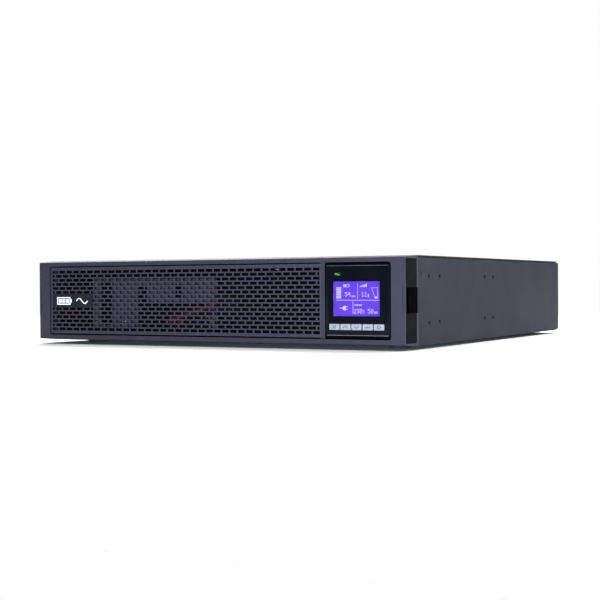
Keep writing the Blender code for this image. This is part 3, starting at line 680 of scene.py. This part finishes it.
def make_grille():
    """The perforated skin on its rim: slots laid like bricks, half slots at the row ends."""
    x, back, z = span_of("grille_panel")
    outlines = [[(x[0], z[0]), (x[1], z[0]), (x[1], z[1]), (x[0], z[1])]]
    half, web = SLOT_LENGTH / 2, (SLOT_PITCH - SLOT_LENGTH) / 2
    last_x = FIRST_SLOT_X + SLOT_PITCH * (SLOTS_IN_ROW - 1)
    for row in range(SLOT_ROWS):
        row_z = FIRST_SLOT_Z - row * ROW_PITCH
        shifted = row % 2
        start = FIRST_SLOT_X + shifted * SLOT_PITCH / 2
        for index in range(SLOTS_IN_ROW - shifted):
            centre = start + index * SLOT_PITCH
            outlines.append(slot_outline(centre - half, centre + half, row_z))
        if shifted:
            outlines.append(slot_outline(FIRST_SLOT_X - half, FIRST_SLOT_X - web, row_z))
            outlines.append(slot_outline(last_x + web, last_x + half, row_z))
    skin = flat_shapes("skin", outlines, back[0], GRILLE_SKIN, 0.12)
    behind = (back[0] + GRILLE_SKIN / 2, back[1])
    rim = 1.2
    edges = blocks("rim", [
        ((x[0] + 0.1, x[0] + rim), behind, grown(z, -0.1)),
        ((x[1] - rim, x[1] - 0.1), behind, grown(z, -0.1)),
        (grown(x, -0.1), behind, (z[0] + 0.1, z[0] + rim)),
        (grown(x, -0.1), behind, (z[1] - rim, z[1] - 0.1)),
    ])
    panel = smooth(joined("panel", [skin, edges]), 30)
    piece(panel, "grille_mesh", "grille", "bezel", ["grille_panel"])


def make_badge():
    """A plain plate with two pictograms: a battery and a wave."""
    x, back, z = span_of("badge_plate")
    plate = rounded_block("badge", x, back, z, 1.0)
    soften(plate, 0.15)
    piece(plate, "badge_blank", "badge", "bezel", ["badge_plate"])
    left, middle, line = x[0] + 6, sum(z) / 2, 1.0
    width, height, bar = 18, 8, 3.7
    low = middle - height / 2
    outlines = [
        box_outline(left, low, width, height),
        box_outline(left + line, low + line, width - 2 * line, height - 2 * line),
        box_outline(left + width + 0.2, middle - 1.8, 1.3, 3.6),
    ]
    outlines += [box_outline(left + 2.2 + 4.9 * i, low + 2.1, bar, height - 4.2) for i in range(3)]
    battery = flat_shapes("badge_battery_mark", outlines, back[0] - 0.1, 0.12)
    piece(battery, "badge_battery_mark", "print", "bezel")
    crest = stroke(wave(left + 26, middle, 15, 2.7, 24), line)
    mark = flat_shapes("badge_wave_mark", [crest], back[0] - 0.02, 0.12)
    piece(mark, "badge_wave_mark", "print", "bezel")


# Display module


def make_display_housing():
    x, back, z = span_of("display_housing")
    wall = 2.2
    housing = blocks("housing", [(x, back, z)])
    soften(housing, 1.8, 3)
    bake(housing)
    cut(housing, (grown(x, -wall), (back[0] + wall, back[1] + 5), grown(z, -wall)))
    openings = [(SCREEN_X, (-5, 10), SCREEN_Z)]
    for node in ("status_lamp", *(f"button_{name}" for name in BUTTONS)):
        hole = span_of(node)
        openings.append((grown(hole[0], 0.3), (-5, 10), grown(hole[2], 0.3)))
    cut(housing, *openings)
    smooth(housing, 25)
    stand_in(housing, "display_housing", "shell", "gloss", "display_module")
    # Two thin light bars across the display face, near its foot and its head, are a painted
    # highlight for the glint on the housing's bevelled edges; the lower bar is wider, as its glint
    # is brighter.
    edge, face = 2.3, back[0]
    trim = blocks("trim", [
        (grown(x, -edge), (face - 0.05, face + 0.2), (z[0] + edge - 0.5, z[0] + edge)),
        (grown(x, -edge), (face - 0.05, face + 0.1), (z[1] - edge, z[1] - edge + 0.25)),
    ])
    piece(trim, "display_painted_glint", "trim", "display_module")


DIGITS = {
    "0": ".##./#..#/#..#/#..#/#..#/#..#/.##.", "1": "..#./.##./..#./..#./..#./..#./.###",
    "2": ".##./#..#/...#/..#./.#../#.../####", "3": "####/...#/..#./.##./...#/#..#/.##.",
    "4": "..##/.#.#/#..#/####/...#/...#/...#", "5": "####/#.../###./...#/...#/#..#/.##.",
}
DIGIT_ROWS, DIGIT_COLUMNS = 7, 4


def dot(x, z):
    return box_outline(x, z, DOT * DOT_FILL, DOT * DOT_FILL)


def number_dots(text, x, z):
    """Dotted numerals, each mark of the pattern drawn as one square."""
    found = []
    for letter in text:
        for row, line in enumerate(DIGITS[letter].split("/")):
            for column, mark in enumerate(line):
                if mark == "#":
                    found.append(dot(x + column * DOT, z + (DIGIT_ROWS - 1 - row) * DOT))
        x += (DIGIT_COLUMNS + 1) * DOT
    return found


# Bars on the display from the screen's lower left corner: x, z, width and height of the
# first, how many there are, and the step in x and z from one to the next
SCREEN_BARS = (
    (2.4, 14.9, 44.2, 0.45, 1, 0, 0), (24.6, 16.4, 0.4, 14.8, 1, 0, 0),
    (19.6, 2.0, 0.4, 12.2, 1, 0, 0), (2.2, 16.9, 5.2, 1.05, 7, 0, 1.58),
    (18.2, 18.3, 0.5, 1.3, 5, 0.9, 0), (35.6, 18.0, 1.2, 0.7, 3, 0, 1.2),
    (30.8, 3.0, 0.9, 0.6, 3, 0, 1.2), (42.4, 2.6, 0.7, 1.8, 3, 1.1, 0),
    (21.6, 9.9, 1.3, 1.3, 4, 2.0, 0),
)
SCREEN_NUMBERS = (("54", 11.4, 18.6), ("11", 28.6, 18.6), ("230", 20.9, 2.6), ("50", 35.6, 2.6))


def make_display_marks():
    """What the display shows: gauges, dividers, a plug and numerals, all pictograms."""
    left, low = SCREEN_X[0], SCREEN_Z[0]
    marks = [
        box_outline(left + x + i * step_x, low + z + i * step_z, width, height)
        for x, z, width, height, count, step_x, step_z in SCREEN_BARS for i in range(count)
    ]
    marks += [box_outline(left + 27.4 + 1.5 * i, low + 27.8, 1.0, 0.8 + 0.55 * i) for i in range(5)]
    for text, x, z in SCREEN_NUMBERS:
        marks += number_dots(text, left + x, low + z)
    marks += small_battery(left + 9.8, low + 27.6)
    marks += load_wedge(left + 39.0, low + 16.6)
    marks += plug_mark(left + 5.6, low + 7.6)
    shown = flat_shapes("display_marks", marks, 3.48, 0.1)
    piece(shown, "display_marks", "marks", "display_module")


def small_battery(x, z):
    return [box_outline(x, z, 6.0, 2.7), box_outline(x + 0.4, z + 0.4, 5.2, 1.9),
            box_outline(x + 6.2, z + 0.8, 0.5, 1.1), box_outline(x + 0.8, z + 0.8, 2.6, 1.1)]


def load_wedge(x, z):
    """A wedge drawn by its outline, filled a little at its foot."""
    width, height, line = 7.0, 10.6, 0.4
    slope = [(x, z + height), (x + line * 1.2, z + height), (x + width * 0.62 + line, z),
             (x + width * 0.62, z)]
    return [
        box_outline(x + 1.2, z + height - line, width - 1.2, line),
        box_outline(x + width - line, z, line, height - line * 1.5),
        slope,
        [(x + width * 0.66, z + 0.3), (x + width - 0.9, z + 0.3), (x + width - 0.9, z + 2.0),
         (x + width * 0.58, z + 2.0)],
    ]


def plug_mark(x, z):
    """A plug seen from the side: cord, body and two pins."""
    body = [(x + 3.0, z - 0.9), (x + 5.2, z - 2.2), (x + 6.6, z - 2.2), (x + 6.6, z + 2.2),
            (x + 5.2, z + 2.2), (x + 3.0, z + 0.9)]
    return [
        box_outline(x, z - 0.35, 2.9, 0.7), body,
        box_outline(x + 6.8, z - 1.6, 2.0, 0.65), box_outline(x + 6.8, z + 0.95, 2.0, 0.65),
    ]


def make_lamp():
    x, back, z = span_of("status_lamp")
    lens = rounded_block("lens", x, back, z, 0.8)
    soften(lens, 0.2)
    stand_in(lens, "status_lamp", "lens", "lamp", "display_module")
    mark = stroke(wave(sum(x) / 2 - 2.5, sum(z) / 2, 5.0, 0.6, 16), 0.8)
    mark = flat_shapes("status_lamp_mark", [mark], back[0] - 0.08, 0.1)
    piece(mark, "status_lamp_mark", "lamp_lit", "display_module")


# The pictograms on the buttons from each button's middle: a stroke's width, and its points
ICONS = {
    "escape": ((0.7, (-2.0, -1.5), (2.0, 1.5)), (0.7, (-2.0, 1.5), (-0.5, 0.4)),
               (0.7, (0.5, -0.4), (2.0, -1.5))),
    "up": ((0.8, (-2.5, -1.1), (0, 1.3), (2.5, -1.1)),),
    "down": ((0.8, (-2.5, 1.1), (0, -1.3), (2.5, 1.1)),),
    "enter": ((0.7, (2.6, 1.5), (2.6, -0.4), (-0.9, -0.4)),),
    "power": (),
}
ARROW_HEAD = ((-2.8, -0.4), (-1.0, -1.6), (-1.0, 0.8))
RING = (2.1, 1.7)


def icon_outlines(name, x, z):
    """The pictogram printed on a button, centred on x and z."""
    outlines = [stroke([(x + dx, z + dz) for dx, dz in line], width)
                for width, *line in ICONS[name]]
    if name == "enter":
        outlines.append([(x + dx, z + dz) for dx, dz in ARROW_HEAD])
    if name == "power":
        for share in (1, 0.62):
            outlines.append([(x + RING[0] * share * math.cos(a * math.pi / 12),
                              z + RING[1] * share * math.sin(a * math.pi / 12))
                             for a in range(24)])
    return outlines


def make_buttons():
    for name in BUTTONS:
        body = f"button_{name}"
        x, back, z = span_of(body)
        cap = rounded_block("cap", x, back, z, 0.5, 3)
        soften(cap, 0.75, 3)
        stand_in(cap, body, "cap", "button", body)
        outlines = icon_outlines(name, sum(x) / 2, sum(z) / 2)
        icon = flat_shapes(f"{body}_icon", outlines, back[0] - 0.05, 0.1)
        piece(icon, f"{body}_icon", "icon", body)


# Behind the grille

DOOR_SLOTS = (((-156, -140), (20, 67)), ((-106, -95), (20, 63)), ((-58, -50), (50, 64)))
DOOR_CORNER = ((-106, -16), (20, 40), (10, 45))
DOOR_SCREWS = ((-161, 64), (-123, 24), (-30, 62), (-161, 23))
LEAD_TIE_PLACE = (-12.5, 20, 30.8)


def make_battery_door():
    """The grey plate with the gaps that show black, and its screws."""
    x, back, z = span_of("battery_door")
    door = blocks("door", [(x, back, z)])
    cut(door, *((x, (20, 40), z) for x, z in DOOR_SLOTS))
    cut(door, DOOR_CORNER)
    soften(door, 0.4)
    stand_in(door, "battery_door", "plate", "grey_steel")
    for index, (x, z) in enumerate(DOOR_SCREWS):
        make_screw(f"battery_door_screw_{index + 1}", (x, back[0] - 0.05, z), "-Y", 2.6)


def make_battery_plug():
    x, back, z = span_of("battery_plug")
    plug = rounded_block("plug", x, back, z, 1.8)
    cut(plug, ((x[0] + 12.4, x[0] + 13.6), grown(back, 2), (z[0] - 1, z[0] + 5)))
    soften(plug, 0.4)
    stand_in(plug, "battery_plug", "body", "plug")
    profile = ((2.2, 1.1), (3.1, 1.1), (3.1, -1.1), (2.2, -1.1), (2.2, 1.1))
    tie = turned("tie", profile, LEAD_TIE_PLACE, "Z", 20)
    piece(tie, "lead_tie", "teal", "chassis")


# Chassis


SIDE_X = 218.6
SHEET = 1.2
CHASSIS_FRONT = 28.5
CHASSIS_END = 480.0
SIDE_TOP = 88.2
BEND = 1.9
HOLES = [(back, z) for back in (54.4, 81.5, 210.2, 236.6) for z in (25.5, 70.2)]
HOLE_RADIUS, DIMPLE_RADIUS = 2.6, 1.7
DIMPLES = ((35.2, 73.1), (36.6, 22.2), (36.4, 81.6))
REAR_CORNER = (10.0, 2.0)


def corner(cx, cz, radius, start):
    """Points of a quarter turn from an angle in degrees."""
    steps = 5
    angles = [math.radians(start + 90 * i / steps) for i in range(steps + 1)]
    return [(cx + radius * math.cos(a), cz + radius * math.sin(a)) for a in angles]


def folded_sheet_outline():
    """The cross-section of the base: a floor with two sides, bent from one sheet."""
    low, crown = FOOT + BEND, 0.9
    half = corner(SIDE_X - BEND, low, BEND, -90)
    half += corner(SIDE_X - crown, SIDE_TOP - crown, crown, 0)[:-1]
    half += [(SIDE_X - crown, SIDE_TOP), (SIDE_X - SHEET, SIDE_TOP)]
    half += corner(SIDE_X - BEND, low, BEND - SHEET, -90)[::-1]
    return half + [(-x, z) for x, z in half[::-1]]


def make_chassis():
    base = extruded("base", folded_sheet_outline(), (CHASSIS_FRONT, CHASSIS_END))
    boolean(base, rods("holes", [(0, *place) for place in HOLES], HOLE_RADIUS, 460, "X"))
    pits = [(side * SIDE_X, *place) for side in (-1, 1) for place in DIMPLES]
    boolean(base, rods("pits", pits, DIMPLE_RADIUS, 1.4, "X", 16))
    length, height = REAR_CORNER
    wedge = blocks("wedge", [((-240, 240), (CHASSIS_END - length, CHASSIS_END + 1),
                              (FOOT - 1, FOOT + height))])
    near = FRONT_Y + (CHASSIS_END - length + 0.5) * MM
    for vertex in wedge.data.vertices:
        if vertex.co.y < near and vertex.co.z > FOOT * MM:
            vertex.co.z -= height * MM
    boolean(base, wedge)
    soften(base, 0.2, 2, 50)
    piece(base, "chassis_tray", "chassis", "chassis", ["chassis_base"])
    for side, name in ((-1, "left"), (1, "right")):
        make_press_nuts(name, side)


def make_press_nuts(name, side):
    """The dark threaded nuts pressed into the rail holes of one side, and its rivets."""
    centres = [(side * (SIDE_X - 1.7), *place) for place in HOLES]
    nuts = rods("nuts", centres, 2.5, 3.0, "X")
    boolean(nuts, rods("bores", centres, 1.7, 8, "X", 16))
    smooth(nuts, 30)
    piece(nuts, f"rail_nuts_{name}", "nut", "chassis")
    pins = [(side * (SIDE_X - 0.9), *place) for place in DIMPLES]
    studs = smooth(rods("studs", pins, DIMPLE_RADIUS - 0.1, 1.2, "X", 16), 30)
    piece(studs, f"side_rivets_{name}", "nut", "chassis")


def make_lid():
    x, back, z = span_of("top_cover")
    lid = blocks("lid", [(x, back, (z[1] - 1.5, z[1]))])
    flanges = [(side_span(side, 215.9, 217.1), (back[0] + 2, back[1] - 1), (z[0], z[1] - 0.7))
               for side in (-1, 1)]
    boolean(lid, blocks("flanges", flanges), "UNION")
    soften(lid, 0.3, 2, 50)
    # The darker lid paint is partly painted shade for the dark line along the top edges.
    stand_in(lid, "top_cover", "sheet", "lid")


# Screws


def make_screw(name, place, axis, radius):
    """A pan head with a cross recess."""
    head = 0.55 * radius
    profile = ((0, head), (radius * 0.55, head * 0.96), (radius * 0.85, head * 0.65),
               (radius, head * 0.2), (radius, 0), (0, 0))
    screw = turned(name, profile, place, axis, 24)
    half, arm = radius * 0.13, radius * 0.6
    x, back, z = place
    out = -1 if axis == "-Y" else 1
    reach = sorted((back + out * head * 0.45, back + out * (head + 1)))
    cut(screw, (around(x, arm), reach, around(z, half)))
    cut(screw, (around(x, half), reach, around(z, arm)))
    smooth(screw, 30)
    piece(screw, name, "screw", "chassis")


# Rear

GUARD_RINGS = (10, 16.5, 23, 29.5, 36)
BLADE_RADII = (15.5, 36.6)
HUB = ((0, 9), (14.5, 9), (16.6, 8.4), (17.6, 7), (18, 5), (18, -9), (16, -9), (16, -7), (0, -7))


def circle_points(x, back, z, radius, count=48):
    angles = [2 * math.pi * i / count for i in range(count)]
    return [(x + radius * math.cos(a), back, z + radius * math.sin(a)) for a in angles]


def make_fan_guard(name, x):
    """Wire rings on crossed struts that end in four eyelets."""
    back, reach, eyelet = REAR_FACE + 1.7, 35.5, 3.2
    wires = [tube("ring", circle_points(x, back, FAN_Z, radius), 0.75, True)
             for radius in GUARD_RINGS]
    behind, end = back - 0.75, reach - 3.4 / math.sqrt(2)
    for slope in (1, -1):
        wires.append(tube("strut", [(x + slope * s * end, behind, FAN_Z + s * end)
                                    for s in (-1, 1)], 0.8))
    for sx, side in ((-1, "l"), (1, "r")):
        for sz, row in ((-1, "b"), (1, "t")):
            ex, ez = x + sx * reach, FAN_Z + sz * reach
            wires.append(tube("eyelet", circle_points(ex, behind, ez, eyelet, 20), 0.75, True))
            make_screw(f"fan_screw_{name}_{side}{row}", (ex, back - 0.4, ez), "Y", 2.9)
    guard = smooth(joined("guard", wires), 60)
    stand_in(guard, f"fan_guard_{name}", "wires", "wire")


def blade(angle, x, back):
    """One swept, twisted fan blade as a thin curved sheet."""
    rows, columns = 9, 7
    shape = bmesh.new()
    grid = []
    for row in range(rows + 1):
        share = row / rows
        radius = BLADE_RADII[0] + (BLADE_RADII[1] - BLADE_RADII[0]) * share
        chord, pitch = math.radians(44 - 6 * share), 12.0 - 3.5 * share
        grid.append([])
        for column in range(columns + 1):
            along = column / columns - 0.5
            turn = angle + along * chord + 0.30 * share
            depth = along * pitch + 1.6 * (0.25 - along * along) * 4
            point = at(x + radius * math.cos(turn), back + depth, FAN_Z + radius * math.sin(turn))
            grid[-1].append(shape.verts.new(point))
    for near, far in zip(grid, grid[1:]):
        for i in range(columns):
            shape.faces.new((near[i], far[i], far[i + 1], near[i + 1]))
    obj = from_bmesh("blade", shape)
    sheet = obj.modifiers.new("sheet", "SOLIDIFY")
    sheet.thickness = 1.1 * MM
    sheet.offset = 0
    return obj


def make_fan_rotor(name, x):
    body = f"fan_rotor_{name}"
    back = sum(span_of(body)[1]) / 2
    hub = turned("hub", HUB, (x, back, FAN_Z), "Y", 48)
    blades = [blade(2 * math.pi * i / 7, x, back) for i in range(7)]
    rotor = smooth(joined("rotor", [hub, *blades]), 35)
    stand_in(rotor, body, "blades", "fan", body)


def make_outlets():
    """Outlet blocks with a groove and three blade slots in each outlet."""
    for name, z in zip(("lower", "upper"), OUTLET_ZS):
        x, back, block_z = span_of(f"outlet_block_{name}")
        body = rounded_block("outlets", x, back, block_z, 2.0)
        for far, half_x, half_z, corner, deep, operation in (
                (10, 12.4, 8.6, 4.6, 14, "DIFFERENCE"), (2.2, 9.6, 5.8, 3.2, 16, "UNION")):
            couplers = [cut_corner_block(cx, (LID_END - deep, LID_END + far), z, half_x, half_z,
                                         corner) for cx in OUTLET_XS]
            boolean(body, joined("couplers", couplers), operation)
        slots, pins = [], (LID_END - 12, LID_END + 10)
        for cx in OUTLET_XS:
            slots += [(around(cx + s, 1), pins, (z - 3.6, z + 0.9)) for s in (-6.0, 6.0)]
            slots.append((around(cx, 1), pins, (z - 0.6, z + 3.9)))
        cut(body, *slots)
        soften(body, 0.35)
        stand_in(body, f"outlet_block_{name}", "body", "socket")


def cut_corner_block(x, back, z, half_x, half_z, corner):
    """The outline of an appliance coupler: a box with its two upper corners cut off."""
    outline = [
        (x - half_x, z - half_z), (x + half_x, z - half_z), (x + half_x, z + half_z - corner),
        (x + half_x - corner, z + half_z), (x - half_x + corner, z + half_z),
        (x - half_x, z + half_z - corner),
    ]
    return extruded("coupler", outline, back)


def make_inlet():
    x, back, z = span_of("mains_inlet")
    cx, cz = sum(x) / 2, sum(z) / 2
    body = rounded_block("inlet", x, back, z, 1.6)
    boolean(body, cut_corner_block(cx, (LID_END - 15, LID_END + 10), cz, 12, 8, 4.4))
    soften(body, 0.4)
    stand_in(body, "mains_inlet", "body", "socket")
    for index, (side, up) in enumerate(((-7, -1), (0, 3), (7, -1))):
        pin = blocks("pin", [(around(cx + side, 1), (LID_END - 15.5, LID_END - 3),
                              around(cz + up, 2))])
        soften(pin, 0.6)
        piece(pin, f"mains_inlet_pin_{index + 1}", "pin", "chassis")


def make_breaker():
    x, back, z = span_of("input_breaker")
    cx, cz = sum(x) / 2, sum(z) / 2
    collar_profile = ((4.3, 2.5), (5.4, 2.5), (6, 1.9), (6, -20), (4.3, -20), (4.3, 2.5))
    collar = turned("collar", collar_profile, (cx, back[1] - 2.5, cz), "Y", 40)
    nut = turned("nut", ((6.3, 1.9), (8.6, 1.9), (9.3, 1.4), (9.3, 0), (6.3, 0), (6.3, 1.9)),
                 (cx, REAR_FACE + 0.1, cz), "Y", 6)
    stand_in(collar, "input_breaker", "collar", "socket")
    soften(nut, 0.2)
    piece(nut, "input_breaker_nut", "screw", "chassis")
    button_back = span_of("breaker_button")[1]
    top = button_back[1] - button_back[0]
    profile = ((0, top - 0.5), (2.4, top - 0.4), (3.2, top), (3.8, top - 0.3), (4, top - 0.9),
               (4, 0), (0, 0))
    cap = turned("cap", profile, (cx, button_back[0], cz), "Y", 40)
    stand_in(cap, "breaker_button", "cap", "breaker", "breaker_button")


def make_battery_socket():
    x, back, z = span_of("external_battery_socket")
    body = rounded_block("socket", x, back, z, 1.5)
    for cell_x in ((x[0] + 2.5, x[0] + 15.7), (x[1] - 15.7, x[1] - 2.5)):
        boolean(body, rounded_block("cut", cell_x, (back[1] - 14, back[1] + 5), grown(z, -3), 1.6))
    soften(body, 0.4)
    stand_in(body, "external_battery_socket", "body", "battery_socket")


def make_ports():
    """USB and serial shells with their inserts and jack screws, and the terminal."""
    for name, wall, inset in (("usb_port", 1.0, 1.0), ("serial_port", 2.2, 7.0)):
        x, (near, end), z = span_of(name)
        cx, cz = sum(x) / 2, sum(z) / 2
        shell = rounded_block("shell", x, (near, end), z, 1.2)
        boolean(shell, rounded_block("cut", grown(x, -inset), (end - 6, end + 5),
                                     grown(z, -wall), 1.4))
        soften(shell, 0.3)
        stand_in(shell, name, "shell", "port")
        half = (x[1] - x[0]) / 2 - inset - 1.6
        insert = rounded_block("insert", around(cx, half), (end - 6.5, end - 0.8),
                               around(cz, 1.9), 0.6)
        if name == "serial_port":
            pins = [(cx + 2.76 * (i - 2), end, cz + 0.8) for i in range(5)]
            pins += [(cx + 2.76 * (i - 1.5), end, cz - 0.9) for i in range(4)]
            boolean(insert, rods("cut", pins, 0.5, 5, "Y", 10))
        soften(insert, 0.2)
        piece(insert, f"{name}_insert", "socket", "chassis")
    x, back, z = span_of("serial_port")
    profile = ((1.3, 4), (2.3, 4), (2.6, 3.6), (2.6, 0), (1.3, 0), (1.3, 4))
    for index, px in enumerate(grown(x, -3.2)):
        jack = turned("jack", profile, (px, back[1] - 3.8, sum(z) / 2), "Y", 6)
        piece(jack, f"serial_port_jack_{index + 1}", "zinc", "chassis")
    x, back, z = span_of("emergency_off_terminal")
    block = rounded_block("terminal", x, back, z, 0.6)
    for px in grown(x, -4):
        boolean(block, rods("cut", [(px, back[1], sum(z) / 2)], 1.6, 8, "Y", 24))
    soften(block, 0.3)
    stand_in(block, "emergency_off_terminal", "block", "terminal")


def make_slot_cover():
    x, back, z = span_of("option_slot_cover")
    cover = rounded_block("cover", x, back, z, 1.5)
    soften(cover, 0.35)
    stand_in(cover, "option_slot_cover", "plate", "chassis")
    for index, px in enumerate(grown(x, -5)):
        make_screw(f"option_slot_screw_{index + 1}", (px, back[1], sum(z) / 2), "Y", 2.9)


def make_earth_screw():
    x, _, z = span_of("earth_screw")
    cx, cz = sum(x) / 2, sum(z) / 2
    washer = turned("washer", ((1.8, 0.7), (4.4, 0.7), (4.6, 0.4), (4.6, 0), (1.8, 0), (1.8, 0.7)),
                    (cx, REAR_FACE + 0.1, cz), "Y", 32)
    piece(washer, "earth_screw_washer", "zinc", "chassis")
    head = turned("head", ((0, 2.3), (2.6, 2.3), (3.5, 1.8), (3.6, 1.2), (3.6, 0), (0, 0)),
                  (cx, REAR_FACE + 0.8, cz), "Y", 32)
    cut(head, (around(cx, 4), (REAR_FACE + 2.0, REAR_FACE + 6), around(cz, 0.5)))
    smooth(head, 30)
    stand_in(head, "earth_screw", "head", "brass")


def make_rear_screws():
    places = [(-210, 84.5), (-130, 84.5), (0, 84.5), (96, 84.5), (210, 40), (-50, 9), (118, 9)]
    for index, (x, z) in enumerate(places):
        make_screw(f"rear_panel_screw_{index + 1}", (x, REAR_FACE - 0.05, z), "Y", 2.7)


# CAD nodes that stay


NODE_PAINTS = {
    "chassis": ("rear_panel",),
    # The front plate and the battery tray take the near-black paint, which is partly painted shade
    # behind the grille.
    "black_steel": ("front_plate", "battery_tray"),
    "zinc": ("divider_wall",),
    "window": ("display_window",),
    "backlight": ("backlit_display",),
    "rubber": ("foot_front_left", "foot_front_right", "foot_rear_left", "foot_rear_right"),
    "circuit": ("display_board", "main_board", "charger_board"),
    "battery": ("battery_1", "battery_2", "battery_3"),
    "lead_red": ("battery_lead_red",),
    "lead_black": ("battery_lead_black",),
    "aluminium": ("heatsink_left", "heatsink_right"),
    "copper": ("choke_1", "choke_2"),
    "core": ("transformer",),
    "sleeve": ("capacitor_1", "capacitor_2", "capacitor_3"),
    "fan": ("fan_frame_left", "fan_frame_right"),
}
SOFT_NODES = {"battery_tray": 0.3, "front_plate": 0.2}
ROUND_LOOKS = ("rubber", "lead_red", "lead_black", "copper", "sleeve")


def weld(node):
    modifier = node.modifiers.new("weld", "WELD")
    modifier.merge_threshold = 0.005 * MM


def finish_nodes():
    for look, names in NODE_PAINTS.items():
        for name in names:
            paint(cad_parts[name], look)
    for name, width in SOFT_NODES.items():
        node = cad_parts[name]
        weld(node)
        flats = node.modifiers.new("flats", "DECIMATE")
        flats.decimate_type = "DISSOLVE"
        flats.angle_limit = math.radians(1)
        soften(node, width, 2, 50)
    for look in ROUND_LOOKS:
        for name in NODE_PAINTS[look]:
            weld(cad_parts[name])


# Stage


def make_floor():
    floor = blocks("floor", [((-1100, 1100), (-750, 1300), (-20, 0))])
    paint(floor, "floor")


def make_world():
    """White to the camera, and dimmer as a light."""
    world = bpy.data.worlds.new("studio")
    bpy.context.scene.world = world
    world.use_nodes = True
    tree = world.node_tree
    seen = tree.nodes["Background"]
    seen.inputs["Color"].default_value = (1, 1, 1, 1)
    light = add_node(tree, "Background", {"Color": (0.85, 0.9, 1.0, 1), "Strength": WORLD_LIGHT})
    rays = add_node(tree, "LightPath")
    mix = add_node(tree, "MixShader", links={
        "Fac": rays.outputs["Is Camera Ray"], 1: light.outputs["Background"],
        2: seen.outputs["Background"],
    })
    tree.links.new(mix.outputs["Shader"], tree.nodes["World Output"].inputs["Surface"])


def make_light(name, place, aim, size, power, colour):
    light = bpy.data.lights.new(name, "AREA")
    light.shape = "RECTANGLE"
    light.color = colour
    light.size, light.size_y = size
    light.energy = power
    obj = linked(name, light)
    obj.location = place
    obj.rotation_euler = (Vector(aim) - Vector(place)).to_track_quat("-Z", "Y").to_euler()


def make_camera():
    data = bpy.data.cameras.new("camera")
    data.lens = CAMERA_LENS
    data.sensor_width = 36
    camera = linked("camera", data)
    yaw, pitch, roll = (math.radians(v) for v in (CAMERA_YAW, CAMERA_PITCH, CAMERA_ROLL))
    look = Vector((math.sin(yaw) * math.cos(pitch), math.cos(yaw) * math.cos(pitch),
                   -math.sin(pitch)))
    right = Vector((math.cos(yaw), -math.sin(yaw), 0))
    up = right.cross(look)
    rolled_right = math.cos(roll) * right + math.sin(roll) * up
    rolled_up = -math.sin(roll) * right + math.cos(roll) * up
    camera.matrix_world = Matrix((rolled_right, rolled_up, -look)).transposed().to_4x4()
    camera.location = CAMERA_PLACE
    bpy.context.scene.camera = camera


def main():
    make_camera()
    make_world()
    for light in LIGHTS:
        make_light(*light)
    make_looks()
    make_floor()
    make_chassis()
    make_lid()
    make_bezel()
    for side, name in ((-1, "left"), (1, "right")):
        make_side_grip(f"side_grip_{name}", side)
    for make in (make_grille, make_badge, make_display_housing, make_display_marks, make_lamp,
                 make_buttons, make_battery_door, make_battery_plug):
        make()
    for name, x in FANS.items():
        make_fan_guard(name, x)
        make_fan_rotor(name, x)
    for make in (make_outlets, make_inlet, make_breaker, make_battery_socket, make_ports,
                 make_slot_cover, make_earth_screw, make_rear_screws, finish_nodes):
        make()
    bpy.context.scene.view_settings.view_transform = "Standard"


main()
